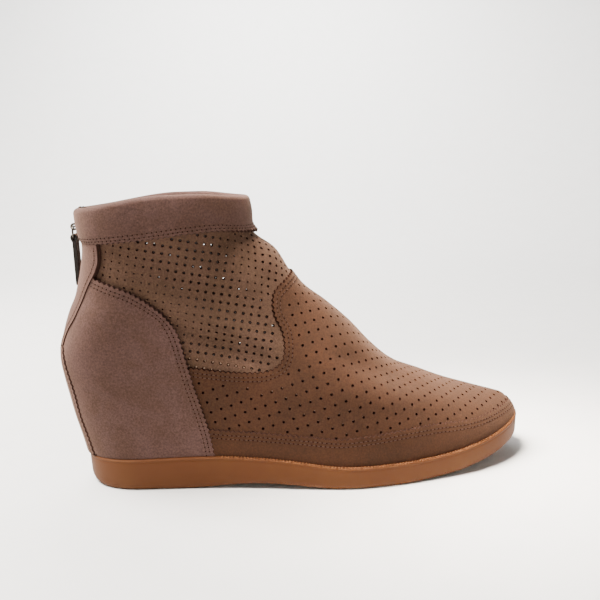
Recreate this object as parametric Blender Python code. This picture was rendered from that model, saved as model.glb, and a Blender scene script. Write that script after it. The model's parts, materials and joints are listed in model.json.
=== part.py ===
"""Wedge ankle boot, right shoe, standing empty on its sole.

Metres, +X to the toe, +Z up, -Y the outer (lateral) side of the foot, +Y the inner side.
The origin lies on the ground, under the middle of the heel seat.
"""
import bpy
import bmesh
import numpy as np
from mathutils import Matrix, Vector

# Driving sizes of the whole boot
SOLE_LENGTH = 0.258
HEEL_SET = 0.030          # the origin lies this far in front of the sole's back edge
BALL_WIDTH = 0.086        # widest part of the sole
COLLAR_HEIGHT = 0.163
COLLAR_DROP = 0.0060      # the collar is this much lower at the back
SHAFT_HALF = 0.030        # half the width of the shaft
HEEL_BULGE = 0.009        # how far the heel swells back past the sole
TOE_SPRING = 0.0115
TOE_SWING = 0.007         # the toe points this far to the inner side
ARCH_RISE = 0.0028
SEAT_RISE = 0.040         # wedge height under the heel, over its thin front
WEDGE_FRONT = 0.003

# Sole
BAND_HEIGHT = 0.0186      # tallest part of the rubber band
HEEL_ROUND = 0.030
TOE_ROUND = 0.048
ROUND_POWER = 2.2
HEEL_BEVEL = 0.003        # the back edge of the heel lifts by this much
BOTTOM_INSET = 0.0022
LIP_HEIGHT = 0.0026
LIP_GROOVE = 0.0007
GROOVE_HEIGHT = 0.0008
SPRING_START = 0.70       # share of the sole's length where the toe begins to lift
SPRING_POWER = 1.8
ARCH_SPAN = (0.22, 0.56)  # shares of the sole's length

# Upper, and what lies on it
WALL = 0.0018
FIT = 0.0003              # clearance between pieces that touch
CAVITY_FIT = 0.0005       # clearance round the wedge and insole
UPPER_INSET = 0.0036      # the upper's own wall stands this far inside the sole's edge
VAMP_THICK = 0.0013
PANEL_THICK = 0.0018
STAY_THICK = 0.0021
CUFF_THICK = 0.0020
INSOLE_THICK = 0.0030

# Zip at the back
ZIP_SLOT = 0.0092
ZIP_FOOT = 0.083
SLIDER_SIZE = (0.0026, 0.0074, 0.0095)
SLIDER_BELOW = 0.0165     # from the collar's top down to the slider's middle
SLIDER_HEIGHT = COLLAR_HEIGHT - SLIDER_BELOW
BRIDGE_WIDTH = 0.0024
BRIDGE_REACH = 0.0021     # from the slider's face to the ring's wire
BRIDGE_RADIUS = 0.0021
WIRE = 0.0011             # thickness of the ring's wire
WIRE_FIT = 0.0004
RING_WIDTH = 0.0102       # between the middles of its wires
RING_DROP = 0.0058
RING_CORNER = 0.0022
TAB_LENGTH = 0.027
TAB_WIDTH = 0.0080
TAB_LEATHER = 0.0011      # one layer of the folded tab

# How finely the shapes are divided
AROUND = 56
SOLE_AROUND = 56
FINE = 240
END_CROWDING = 0.38

# Sole outline: share of length, outer and inner half width as shares of the ball width
SOLE_PLAN = {
    "station": (0.0, 0.12, 0.30, 0.45, 0.60, 0.68, 0.78, 0.90, 1.0),
    "outer": (0.298, 0.333, 0.385, 0.465, 0.525, 0.518, 0.478, 0.414, 0.352),
    "inner": (0.314, 0.349, 0.362, 0.378, 0.432, 0.474, 0.482, 0.430, 0.370),
}
# Height of the rubber band along the sole, as shares of its tallest part
SOLE_BAND = {
    "station": (0.0, 0.12, 0.30, 0.42, 0.55, 0.70, 1.0),
    "height": (0.93, 0.96, 1.0, 0.92, 0.69, 0.68, 0.67),
}
# Back of the upper: share of the collar height, swell past the sole as a share of the bulge
BACK_LINE = {
    "height": (0.08, 0.17, 0.25, 0.32, 0.39, 0.45, 0.494, 0.53, 0.574, 0.617, 0.654, 0.70, 0.772,
               0.83, 0.90, 1.0),
    "swell": (-0.25, 0.09, 0.43, 0.66, 0.87, 0.97, 0.88, 0.66, 0.40, 0.09, -0.24, -0.50, -0.82,
              -0.98, -0.84, -0.45),
}
# Front of the shaft and ridge of the foot: shares of sole length and collar height,
# and how far the sides take to round over at that place, as a share of the shaft's half width
RIDGE_LINE = {
    "along": (0.376, 0.377, 0.379, 0.400, 0.440, 0.469, 0.500, 0.546, 0.597, 0.647, 0.703, 0.766,
              0.835, 0.905, 1.00),
    "height": (1.0, 0.94, 0.885, 0.847, 0.797, 0.720, 0.656, 0.597, 0.523, 0.436, 0.366, 0.312,
               0.263, 0.232, 0.190),
    "round": (1.40, 1.40, 1.38, 1.32, 1.28, 1.22, 1.18, 1.15, 1.18, 1.22, 1.20, 1.10, 0.96, 0.80,
              0.64),
}
# Toe wall: share of the collar height, setback from the sole's tip as a share of the bulge
TOE_WALL = {
    "height": (0.09, 0.148, 0.185, 0.213, 0.235, 0.27),
    "setback": (0.08, 0.20, 0.62, 1.12, 1.70, 2.7),
}
# Half width of the shaft by height, as shares of its named half width
SHAFT_WIDTH = {
    "height": (0.30, 0.55, 0.70, 0.80, 0.90, 1.0),
    "width": (1.0, 0.96, 0.94, 0.97, 1.02, 1.05),
}
# Wedge: share of the sole's length, share of the seat's rise
WEDGE_LINE = {
    "station": (0.0, 0.10, 0.20, 0.30, 0.40, 0.50, 0.58, 0.66, 0.74, 1.0),
    "rise": (1.0, 1.0, 0.97, 0.85, 0.62, 0.34, 0.14, 0.03, 0.0, 0.0),
}
# Nominal heights of the upper's rings, as shares of the collar height
RINGS = (0.112, 0.145, 0.180, 0.212, 0.242, 0.272, 0.31, 0.36, 0.42, 0.48, 0.54, 0.61, 0.69,
         0.77, 0.85, 0.93, 1.0)
COLLAR_PEAK = 0.22        # share of the sole's length where the collar is highest
COLLAR_FROM = 0.80        # rings above this share follow the collar's slope
FOOT_WIDE_TO = 0.31       # share of the collar height up to which the sides follow the sole
SHAFT_FROM = 0.64         # and from which they follow the shaft
FLAT_FROM = 0.30          # rings above this share of the collar height are level

# Edges of the sewn pieces in side view: shares of sole length (from its back) and collar height
VAMP_EDGE = ((0.50, 0.745), (0.438, 0.675), (0.426, 0.640), (0.428, 0.590), (0.444, 0.535),
             (0.447, 0.480), (0.440, 0.438), (0.420, 0.412), (0.392, 0.402), (0.335, 0.407),
             (0.244, 0.426), (0.210, 0.430))
FOXING_EDGE = ((0.250, 0.222), (0.279, 0.211), (0.32, 0.203), (0.372, 0.199), (0.428, 0.192),
               (0.49, 0.184), (0.555, 0.175), (0.62, 0.181), (0.70, 0.188), (0.78, 0.184),
               (0.85, 0.174), (0.92, 0.176), (1.04, 0.190))
HEEL_EDGE = ((0.045, 0.748), (0.075, 0.726), (0.124, 0.695), (0.151, 0.672), (0.174, 0.645),
             (0.198, 0.611), (0.215, 0.568), (0.229, 0.512), (0.240, 0.444), (0.256, 0.340),
             (0.272, 0.250), (0.283, 0.170), (0.290, 0.09))
STAY_EDGE = ((0.078, 0.87), (0.078, 0.80), (0.070, 0.760), (0.050, 0.704), (0.031, 0.642),
             (0.016, 0.599), (-0.004, 0.552), (-0.016, 0.510), (-0.019, 0.480), (-0.016, 0.43),
             (-0.005, 0.340), (0.004, 0.253), (0.018, 0.170), (0.030, 0.09))
CUFF_EDGE = ((-0.10, 0.842), (0.047, 0.846), (0.117, 0.852), (0.20, 0.862), (0.26, 0.872),
             (0.33, 0.884), (0.385, 0.878), (0.46, 0.872))
STAY_SPLIT = 0.497        # share of the collar height of the bar tack between the stays

REACH = 0.4               # half length of cutters that pass right through


def curve(xs, ys, x):
    """Smooth curve through a table's points."""
    xs = np.asarray(xs, float)
    ys = np.asarray(ys, float)
    step = np.diff(xs)
    slope = np.diff(ys) / step
    tangent = np.empty_like(ys)
    tangent[1:-1] = (slope[:-1] * step[1:] + slope[1:] * step[:-1]) / (step[1:] + step[:-1])
    tangent[0] = slope[0]
    tangent[-1] = slope[-1]
    x = np.clip(np.asarray(x, float), xs[0], xs[-1])
    i = np.clip(np.searchsorted(xs, x) - 1, 0, len(xs) - 2)
    h = step[i]
    t = (x - xs[i]) / h
    return ((2 * t**3 - 3 * t**2 + 1) * ys[i] + (t**3 - 2 * t**2 + t) * h * tangent[i]
            + (3 * t**2 - 2 * t**3) * ys[i + 1] + (t**3 - t**2) * h * tangent[i + 1])


def ease(value, start, end):
    """0 before start, 1 after end, smooth between."""
    t = np.clip((value - start) / (end - start), 0.0, 1.0)
    return t * t * (3.0 - 2.0 * t)


def rounding(t, power=ROUND_POWER):
    """0 at an edge, 1 well inside it, along a superellipse."""
    t = np.clip(t, 0.0, 1.0)
    return (1.0 - (1.0 - t) ** power) ** (1.0 / power)


def station(x):
    """Share of the sole's length at x."""
    return (np.asarray(x, float) + HEEL_SET) / SOLE_LENGTH


def sole_bottom(x):
    """Height of the tread under x: flat at heel and ball, with arch and toe spring."""
    s = station(x)
    spring = TOE_SPRING * np.clip((s - SPRING_START) / (1 - SPRING_START), 0, 1) ** SPRING_POWER
    arch = np.clip((s - ARCH_SPAN[0]) / (ARCH_SPAN[1] - ARCH_SPAN[0]), 0, 1)
    bevel = HEEL_BEVEL * np.clip(1 - s * SOLE_LENGTH / (4 * HEEL_BEVEL), 0, 1) ** 2
    return spring + ARCH_RISE * np.sin(np.pi * arch) ** 2 + bevel


def sole_top(x):
    """Height of the sole's upper edge at x."""
    s = station(x)
    spring = TOE_SPRING * np.clip((s - SPRING_START) / (1 - SPRING_START), 0, 1) ** SPRING_POWER
    return BAND_HEIGHT * curve(SOLE_BAND["station"], SOLE_BAND["height"], s) + spring


def swing(x):
    """Sideways shift of the middle line."""
    return TOE_SWING * ease(station(x), 0.55, 1.0)


def plan_width(x, side):
    """Half width of the sole before its ends are rounded. side is -1 outer, +1 inner."""
    column = "outer" if side < 0 else "inner"
    return BALL_WIDTH * curve(SOLE_PLAN["station"], SOLE_PLAN[column], station(x))


def back_x(z):
    """Back of the upper's wall at height z."""
    return -HEEL_SET - HEEL_BULGE * curve(BACK_LINE["height"], BACK_LINE["swell"],
                                          z / COLLAR_HEIGHT)


def ridge_points():
    """Points of the ridge line from collar to toe, with the rounding distance at each."""
    rank = np.arange(len(RIDGE_LINE["along"]), dtype=float)
    fine = np.linspace(0, rank[-1], 8 * len(rank))
    x = -HEEL_SET + SOLE_LENGTH * curve(rank, RIDGE_LINE["along"], fine)
    z = COLLAR_HEIGHT * curve(rank, RIDGE_LINE["height"], fine)
    reach = SHAFT_HALF * curve(rank, RIDGE_LINE["round"], fine)
    return x, z, reach


RIDGE_X, RIDGE_Z, RIDGE_REACH = ridge_points()


def ridge_depth(x, z):
    """Distance inside the ridge line as a share of the rounding distance there."""
    x = np.atleast_1d(x)
    z = np.atleast_1d(z)
    ax, az = RIDGE_X[:-1], RIDGE_Z[:-1]
    dx, dz = np.diff(RIDGE_X), np.diff(RIDGE_Z)
    along = ((x[:, None] - ax) * dx + (z[:, None] - az) * dz) / (dx**2 + dz**2)
    along = np.clip(along, 0, 1)
    far = np.hypot(x[:, None] - ax - along * dx, z[:, None] - az - along * dz)
    near = np.argmin(far, axis=1)
    row = np.arange(len(x))
    reach = RIDGE_REACH[near] + along[row, near] * (RIDGE_REACH[near + 1] - RIDGE_REACH[near])
    return far[row, near] / reach


def front_x(z):
    """Front of the upper's wall at height z: the ridge line or the toe wall."""
    ridge = np.interp(-np.asarray(z, float), -RIDGE_Z, RIDGE_X)
    return np.minimum(ridge, toe_x(z))


def toe_x(z):
    """Toe wall at height z."""
    setback = HEEL_BULGE * curve(TOE_WALL["height"], TOE_WALL["setback"], z / COLLAR_HEIGHT)
    return SOLE_LENGTH - HEEL_SET - setback


def half_width(x, z, side):
    """Half width of the upper's outer wall at (x, z)."""
    share = z / COLLAR_HEIGHT
    blend = ease(share, FOOT_WIDE_TO, SHAFT_FROM)
    foot = (plan_width(x, side) - UPPER_INSET) * toe_rounding(x, z)
    shaft = SHAFT_HALF * curve(SHAFT_WIDTH["height"], SHAFT_WIDTH["width"], share)
    body = (1 - blend) * foot + blend * shaft
    return body * rounding((x - back_x(z)) / HEEL_ROUND) * rounding(ridge_depth(x, z))


def toe_rounding(x, z):
    """Rounding of the toe in plan."""
    return rounding((toe_x(z) - x) / TOE_ROUND)


def ring_height(level, x):
    """Height at x of the ring whose nominal height is a share of the collar height."""
    settle = 1 - ease(level, RINGS[0], FLAT_FROM)
    start = COLLAR_HEIGHT * RINGS[0]
    slope = COLLAR_DROP * ease(level, COLLAR_FROM, 1.0)
    drop = slope * (1 - ease(station(x), 0.0, COLLAR_PEAK))
    return COLLAR_HEIGHT * level + settle * (sole_top(x) + FIT - start) - drop


def spread(count):
    """Shares of a half ring at which its points lie, closer together at heel and toe."""
    t = np.linspace(0, 1, count + 1)
    return t - END_CROWDING * np.sin(2 * np.pi * t) / (2 * np.pi)


def half_ring(x, y, z, count):
    """Evenly measured points along one side of a ring."""
    path = np.stack([x, y, z], axis=1)
    length = np.concatenate([[0], np.cumsum(np.linalg.norm(np.diff(path, axis=0), axis=1))])
    wanted = spread(count) * length[-1]
    return np.stack([np.interp(wanted, length, path[:, k]) for k in range(3)], axis=1)


def closed_ring(outer, inner):
    """Join the two sides of a ring: back, outer side, front, inner side."""
    return np.concatenate([outer, inner[-2:0:-1]])


def upper_ring(level):
    """One ring of the upper's outer wall."""
    start = end = 0.0
    for _ in range(12):
        start = float(back_x(ring_height(level, start)))
        end = float(front_x(ring_height(level, end)))
    x = start + (end - start) * (1 - np.cos(np.linspace(0, np.pi, FINE))) / 2
    z = ring_height(level, x)
    sides = [half_ring(x, swing(x) + side * half_width(x, z, side), z, AROUND // 2)
             for side in (-1, 1)]
    return closed_ring(*sides)


def wall_grid():
    """Points of the upper's outer wall, ring by ring, and the wall's normals."""
    grid = np.array([upper_ring(level) for level in RINGS])
    along = np.roll(grid, -1, axis=1) - np.roll(grid, 1, axis=1)
    up = np.gradient(grid, axis=0)
    normal = np.cross(along, up)
    normal /= np.linalg.norm(normal, axis=2, keepdims=True)
    return grid, normal


GRID, NORMAL = wall_grid()


def offset_wall(distance):
    """The upper's wall moved out (or in, below zero) by a distance. Its lowest ring stays
    on the sole and its highest stays level."""
    moved = GRID + distance * NORMAL
    for row in (0, -1):
        flat = NORMAL[row] * (1, 1, 0)
        flat /= np.linalg.norm(flat, axis=1, keepdims=True)
        moved[row] = GRID[row] + distance * flat
    moved[0, :, 2] = sole_top(moved[0, :, 0]) + FIT
    return moved


def mesh_object(name, points, faces, material):
    """A mesh object from points and faces, shaded smooth with its edges kept."""
    mesh = bpy.data.meshes.new(name)
    mesh.from_pydata([tuple(p) for p in points], [], faces)
    mesh.validate()
    thing = bpy.data.objects.new(name, mesh)
    bpy.context.collection.objects.link(thing)
    finish(thing, material)
    return thing


def finish(thing, material):
    """Give an object its material and smooth shading."""
    thing.data.materials.clear()
    thing.data.materials.append(material)
    thing.data.shade_smooth()
    thing.data.set_sharp_from_angle(angle=np.radians(35))


def make_material(name, colour, roughness, metallic=0.0):
    """A plain Principled material."""
    material = bpy.data.materials.new(name)
    material.use_nodes = True
    shader = material.node_tree.nodes["Principled BSDF"]
    shader.inputs["Base Color"].default_value = (*colour, 1.0)
    shader.inputs["Roughness"].default_value = roughness
    shader.inputs["Metallic"].default_value = metallic
    return material


def strip_faces(low, high, count, flip=False):
    """Two triangles for each cell between two rings of points."""
    faces = []
    for i in range(count):
        j = (i + 1) % count
        cell = ((low + i, low + j, high + j), (low + i, high + j, high + i))
        faces += [face[::-1] for face in cell] if flip else cell
    return faces


def lid_faces(start, count, flip=False):
    """Close a ring across, from its outer to its inner side."""
    half = count // 2
    faces = []
    for i in range(half):
        a, b = start + i, start + i + 1
        c, d = start + (count - i - 1) % count, start + (count - i) % count
        cell = [(a, b, c)] if i == 0 else [(a, b, d), (b, c, d)]
        if i == half - 1:
            cell = [(a, b, d)]
        faces += [face[::-1] for face in cell] if flip else cell
    return faces


def stack_solid(name, rings, material):
    """A solid through a stack of rings, closed across the lowest and the highest."""
    count = len(rings[0])
    faces = lid_faces(0, count, flip=True)
    for k in range(len(rings) - 1):
        faces += strip_faces(k * count, (k + 1) * count, count)
    faces += lid_faces((len(rings) - 1) * count, count)
    return mesh_object(name, np.concatenate(rings), faces, material)


def shell_solid(name, inner, outer, material):
    """A hollow wall between two grids of rings, open at the top and underneath."""
    rows, count = outer.shape[:2]
    size = rows * count
    faces = []
    for k in range(rows - 1):
        faces += strip_faces(k * count, (k + 1) * count, count)
        faces += strip_faces(size + k * count, size + (k + 1) * count, count, flip=True)
    faces += strip_faces(0, size, count, flip=True)
    faces += strip_faces((rows - 1) * count, size + (rows - 1) * count, count)
    points = np.concatenate([outer.reshape(-1, 3), inner.reshape(-1, 3)])
    return mesh_object(name, points, faces, material)


def prism(name, outline, y_low, y_high):
    """A hidden cutter: a side view outline stretched across from y_low to y_high."""
    count = len(outline)
    points = [(x, y, z) for y in (y_low, y_high) for x, z in outline]
    bm = bmesh.new()
    verts = [bm.verts.new(p) for p in points]
    bm.faces.new(verts[:count])
    bm.faces.new(verts[count:])
    for i in range(count):
        j = (i + 1) % count
        bm.faces.new((verts[i], verts[j], verts[count + j], verts[count + i]))
    bmesh.ops.recalc_face_normals(bm, faces=bm.faces)
    mesh = bpy.data.meshes.new(name)
    bm.to_mesh(mesh)
    bm.free()
    cutter = bpy.data.objects.new(name, mesh)
    bpy.context.collection.objects.link(cutter)
    cutter.hide_render = True
    cutter.display_type = 'WIRE'
    return cutter


def boolean(thing, cutter, operation):
    """Add a Boolean modifier."""
    step = thing.modifiers.new(operation.title(), 'BOOLEAN')
    step.operation = operation
    step.object = cutter
    step.solver = 'EXACT'


def edge(table, shift=0.0):
    """A side view edge in metres, moved sideways by a shift (to the left of its run)."""
    line = np.array(table) * (SOLE_LENGTH, COLLAR_HEIGHT) - (HEEL_SET, 0)
    run = np.gradient(line, axis=0)
    run /= np.linalg.norm(run, axis=1, keepdims=True)
    return line + shift * np.stack([-run[:, 1], run[:, 0]], axis=1)


def sewn_piece(name, thickness, runs, material, sides=(-REACH, REACH)):
    """A piece of leather on the upper, cut to a side view outline made of several runs."""
    piece = shell_solid(name, offset_wall(FIT), offset_wall(FIT + thickness), material)
    outline = np.concatenate([np.array(run) for run in runs])
    boolean(piece, prism(name + "_outline", outline, *sides), 'INTERSECT')
    return piece


def build_sole(material):
    """Rubber outsole with a beveled tread edge and a lip round its top."""
    def sole_ring(inset, height):
        tip = SOLE_LENGTH - HEEL_SET
        share = (1 - np.cos(np.linspace(0, np.pi, FINE))) / 2
        x = -HEEL_SET + inset + (SOLE_LENGTH - 2 * inset) * share
        sides = []
        for side in (-1, 1):
            width = plan_width(x, side) - inset
            width = width * rounding((x + HEEL_SET - inset) / HEEL_ROUND)
            width = width * rounding((tip - inset - x) / TOE_ROUND)
            sides.append(half_ring(x, swing(x) + side * width, height(x), SOLE_AROUND // 2))
        return closed_ring(*sides)

    rings = [
        sole_ring(BOTTOM_INSET, sole_bottom),
        sole_ring(LIP_GROOVE / 2, lambda x: sole_bottom(x) + BOTTOM_INSET),
        sole_ring(0.0, lambda x: sole_top(x) - LIP_HEIGHT - GROOVE_HEIGHT),
        sole_ring(LIP_GROOVE, lambda x: sole_top(x) - LIP_HEIGHT - GROOVE_HEIGHT / 2),
        sole_ring(0.0, lambda x: sole_top(x) - LIP_HEIGHT),
        sole_ring(LIP_GROOVE / 2, sole_top),
    ]
    return stack_solid("outsole", rings, material)


def wedge_height(x):
    """Top of the wedge at x."""
    rise = SEAT_RISE * curve(WEDGE_LINE["station"], WEDGE_LINE["rise"], station(x))
    return sole_top(x) + WEDGE_FRONT + rise


def cavity_ring(height):
    """Where a surface of the given height meets the inside of the upper, at every column."""
    wall = offset_wall(-WALL - CAVITY_FIT)
    ring = np.empty((AROUND, 3))
    for i in range(AROUND):
        column = wall[:, i]
        above = column[:, 2] - height(column[:, 0])
        k = int(np.argmax(above > 0)) if (above > 0).any() else len(column) - 1
        k = max(k, 1)
        t = above[k - 1] / (above[k - 1] - above[k])
        point = column[k - 1] + t * (column[k] - column[k - 1])
        ring[i] = (point[0], point[1], height(point[0]))
    return ring


def build_wedge(material):
    """Wedge under the insole, from the outsole's top to the foot bed."""
    def between(share):
        return lambda x: (1 - share) * (sole_top(x) + FIT) + share * wedge_height(x)
    rings = [cavity_ring(between(share)) for share in (0.0, 0.25, 0.5, 0.75, 1.0)]
    return stack_solid("heel_wedge", rings, material)


def build_insole(material):
    """Insole on the wedge."""
    rings = [cavity_ring(lambda x, lift=lift: wedge_height(x) + lift)
             for lift in (FIT, FIT + INSOLE_THICK / 2, FIT + INSOLE_THICK)]
    return stack_solid("insole", rings, material)


def box_object(name, low, high):
    """A hidden box cutter."""
    outline = [(low[0], low[2]), (high[0], low[2]), (high[0], high[2]), (low[0], high[2])]
    return prism(name, outline, low[1], high[1])


def build_upper(material, tape_material):
    """Hollow upper with the zip's slot at the back, and the zip's tape that fills the slot."""
    inner = offset_wall(-WALL)
    outer = offset_wall(0.0)
    upper = shell_solid("upper", inner, outer, material)
    slot = box_object("slot", (-REACH, -ZIP_SLOT / 2, ZIP_FOOT), (0, ZIP_SLOT / 2, REACH))
    boolean(upper, slot, 'DIFFERENCE')
    tape = shell_solid("zip_tape", inner, outer, tape_material)
    half = ZIP_SLOT / 2 - FIT
    strip = box_object("strip", (-REACH, -half, ZIP_FOOT + FIT), (0, half, REACH))
    boolean(tape, strip, 'INTERSECT')


def crossing(first, second):
    """Where two side view lines cross: the place on the first, counted in its points."""
    for i in range(len(first) - 1):
        a, b = first[i], first[i + 1] - first[i]
        for j in range(len(second) - 1):
            c, d = second[j] - a, second[j + 1] - second[j]
            cross = b[0] * d[1] - b[1] * d[0]
            if cross == 0:
                continue
            t = (c[0] * d[1] - c[1] * d[0]) / cross
            u = (c[0] * b[1] - c[1] * b[0]) / cross
            if 0 <= t <= 1 and 0 <= u <= 1:
                return i + t
    raise ValueError("two sewn edges that should cross do not")


def trim(line, start=None, end=None):
    """The stretch of a side view line between its crossings with two others."""
    rank = np.arange(len(line))
    low = crossing(line, start) if start is not None else 0
    high = crossing(line, end) if end is not None else len(line) - 1
    places = [low, *rank[(rank > low) & (rank < high)], high]
    return np.stack([np.interp(places, rank, line[:, k]) for k in range(2)], axis=1)


def build_overlays(suede, cool_suede):
    """The pieces sewn over the upper. Each one's edge is shared with its neighbour's."""
    gap = FIT / 2
    vamp_line = edge(VAMP_EDGE, gap)
    foxing_top = edge(FOXING_EDGE, gap)
    foxing_line = edge(FOXING_EDGE, -gap)
    heel_front = edge(HEEL_EDGE, gap)
    heel_line = edge(HEEL_EDGE, -gap)
    heel_rear = edge(STAY_EDGE, gap)
    stay_line = edge(STAY_EDGE, -gap)
    cuff_line = edge(CUFF_EDGE, gap)
    cuff_low = edge(CUFF_EDGE, -gap)
    split = STAY_SPLIT * COLLAR_HEIGHT
    split_top = np.array([[-REACH, split + gap], [REACH, split + gap]])
    split_low = np.array([[-REACH, split - gap], [REACH, split - gap]])

    vamp = [trim(vamp_line, end=heel_front), trim(heel_front, vamp_line, foxing_top)[1:-1],
            trim(foxing_top, heel_front), [(REACH, foxing_top[-1, 1]), (REACH, COLLAR_HEIGHT)]]
    sewn_piece("vamp", VAMP_THICK, vamp, suede)

    foxing = [trim(heel_front, foxing_line), [(heel_front[-1, 0], -REACH), (REACH, -REACH)],
              [(REACH, foxing_line[-1, 1])], trim(foxing_line, heel_front)[:0:-1]]
    sewn_piece("foxing", PANEL_THICK, foxing, suede)

    heel = [trim(heel_line, heel_rear), [(heel_line[-1, 0], -REACH), (heel_rear[-1, 0], -REACH)],
            trim(heel_rear, heel_line)[:0:-1]]
    sewn_piece("heel_panel_outer", PANEL_THICK, heel, cool_suede, (-REACH, 0))
    sewn_piece("heel_panel_inner", PANEL_THICK, heel, cool_suede, (0, REACH))

    stay = [trim(stay_line, cuff_low, split_top), [(-REACH, split + gap)],
            trim(cuff_low, end=stay_line)[:-1]]
    sewn_piece("back_stay_outer", STAY_THICK, stay, cool_suede, (-REACH, -ZIP_SLOT / 2))
    sewn_piece("back_stay_inner", STAY_THICK, stay, cool_suede, (ZIP_SLOT / 2, REACH))
    lower = [trim(stay_line, split_low), [(stay_line[-1, 0], -REACH), (-REACH, -REACH)],
             [(-REACH, split - gap)]]
    sewn_piece("back_stay_lower", STAY_THICK, lower, cool_suede)

    cuff = [cuff_line, [(REACH, cuff_line[-1, 1]), (REACH, REACH), (-REACH, REACH)],
            [(-REACH, cuff_line[0, 1])]]
    collar = sewn_piece("collar_cuff", CUFF_THICK, cuff, cool_suede)
    gate = box_object("cuff_gate", (-REACH, -ZIP_SLOT / 2, 0), (0, ZIP_SLOT / 2, REACH))
    boolean(collar, gate, 'DIFFERENCE')


def rod(name, radius, length, place, sides=16):
    """A hidden round cutter along Y."""
    bm = bmesh.new()
    bmesh.ops.create_cone(bm, cap_ends=True, segments=sides, radius1=radius, radius2=radius,
                          depth=length, matrix=Matrix.Rotation(np.pi / 2, 4, 'X'))
    mesh = bpy.data.meshes.new(name)
    bm.to_mesh(mesh)
    bm.free()
    cutter = bpy.data.objects.new(name, mesh)
    bpy.context.collection.objects.link(cutter)
    cutter.location = place
    cutter.hide_render = True
    cutter.display_type = 'WIRE'
    return cutter


def build_slider(metal):
    """Zip slider with the bridge that holds the ring. Returns the ring's hinge point."""
    depth, width, height = SLIDER_SIZE
    wall_x = float(back_x(np.array([SLIDER_HEIGHT + height / 2]))[0])
    slope_x = float(back_x(np.array([SLIDER_HEIGHT - height / 2]))[0])
    face = min(wall_x, slope_x) - FIT
    hinge = Vector((face - depth - BRIDGE_REACH, 0, SLIDER_HEIGHT))
    slider = prism("zip_slider", [(face, hinge.z - height / 2), (face, hinge.z + height / 2),
                                  (face - depth, hinge.z + height / 2 - depth / 3),
                                  (face - depth, hinge.z - height / 2 + depth / 3)],
                   -width / 2, width / 2)
    slider.hide_render = False
    slider.display_type = 'TEXTURED'
    finish(slider, metal)
    turn = np.linspace(np.pi / 2, 3 * np.pi / 2, 9)
    nose = [(hinge.x + BRIDGE_RADIUS * np.cos(a), hinge.z + BRIDGE_RADIUS * np.sin(a))
            for a in turn]
    root = face - depth / 2
    outline = [(root, hinge.z + BRIDGE_RADIUS)] + nose + [(root, hinge.z - BRIDGE_RADIUS)]
    bridge = prism("bridge", outline, -BRIDGE_WIDTH / 2, BRIDGE_WIDTH / 2)
    boolean(slider, bridge, 'UNION')
    hole = rod("bridge_hole", WIRE / 2 + WIRE_FIT, 4 * BRIDGE_WIDTH, hinge)
    boolean(slider, hole, 'DIFFERENCE')
    return hinge


def ring_path(width, drop, corner, steps=4):
    """Closed path of the ring in its own plane, its top wire at zero height."""
    path = []
    middles = ((1, -1, 0.0), (-1, -1, 0.5), (-1, 1, 1.0), (1, 1, 1.5))
    for side, row, start in middles:
        centre_y = side * (width / 2 - corner)
        centre_z = -corner if row < 0 else -drop + corner
        for k in range(steps + 1):
            a = np.pi * (start + k / steps / 2)
            path.append((centre_y + corner * np.cos(a), centre_z + corner * np.sin(a)))
    return np.array(path)


def build_pull(hinge, metal, suede):
    """Wire ring and folded leather tab. Both turn about the hinge."""
    path = ring_path(RING_WIDTH, RING_DROP, RING_CORNER)
    run = np.roll(path, -1, axis=0) - np.roll(path, 1, axis=0)
    run /= np.linalg.norm(run, axis=1, keepdims=True)
    side = np.stack([run[:, 1], -run[:, 0]], axis=1)
    sides = 8
    rings = []
    for k in range(sides):
        a = 2 * np.pi * k / sides
        flat = path + WIRE / 2 * np.cos(a) * side
        rings.append(np.stack([np.full(len(path), WIRE / 2 * np.sin(a)), flat[:, 0], flat[:, 1]], 1))
    count = len(path)
    faces = []
    for k in range(sides):
        faces += strip_faces(k * count, ((k + 1) % sides) * count, count)
    ring = mesh_object("pull_ring", np.concatenate(rings), faces, metal)
    ring.location = hinge
    low = hinge.z - RING_DROP
    radius = WIRE / 2 + WIRE_FIT
    fold = radius + TAB_LEATHER
    turn = np.linspace(-np.pi / 6, 7 * np.pi / 6, 13)
    top = [(hinge.x + fold * np.cos(a), low + fold * np.sin(a)) for a in turn]
    foot = low - TAB_LENGTH
    neck = low - 2 * fold
    outline = top + [(hinge.x - TAB_LEATHER, neck), (hinge.x - TAB_LEATHER, foot),
                     (hinge.x + TAB_LEATHER, foot), (hinge.x + TAB_LEATHER, neck)]
    local = [(x - hinge.x, z - hinge.z) for x, z in outline]
    tab = prism("pull_tab", local, -TAB_WIDTH / 2, TAB_WIDTH / 2)
    tab.location = hinge
    tab.hide_render = False
    tab.display_type = 'TEXTURED'
    finish(tab, suede)
    eye = rod("tab_eye", radius, 4 * TAB_WIDTH, (hinge.x, 0, low))
    boolean(tab, eye, 'DIFFERENCE')


def main():
    """Build the boot."""
    for thing in list(bpy.data.objects):
        bpy.data.objects.remove(thing, do_unlink=True)
    suede = make_material("taupe suede", (0.205, 0.098, 0.056), 0.95)
    cool = make_material("grey taupe suede", (0.185, 0.105, 0.075), 0.95)
    gum = make_material("gum rubber", (0.29, 0.095, 0.033), 0.55)
    lining = make_material("insole leather", (0.30, 0.20, 0.13), 0.7)
    cork = make_material("wedge cork board", (0.36, 0.25, 0.16), 0.9)
    tape = make_material("woven zip tape", (0.12, 0.07, 0.05), 0.85)
    metal = make_material("brushed nickel", (0.55, 0.52, 0.48), 0.35, 1.0)
    build_sole(gum)
    build_wedge(cork)
    build_insole(lining)
    build_upper(suede, tape)
    build_overlays(suede, cool)
    hinge = build_slider(metal)
    build_pull(hinge, metal, suede)


main()
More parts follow.
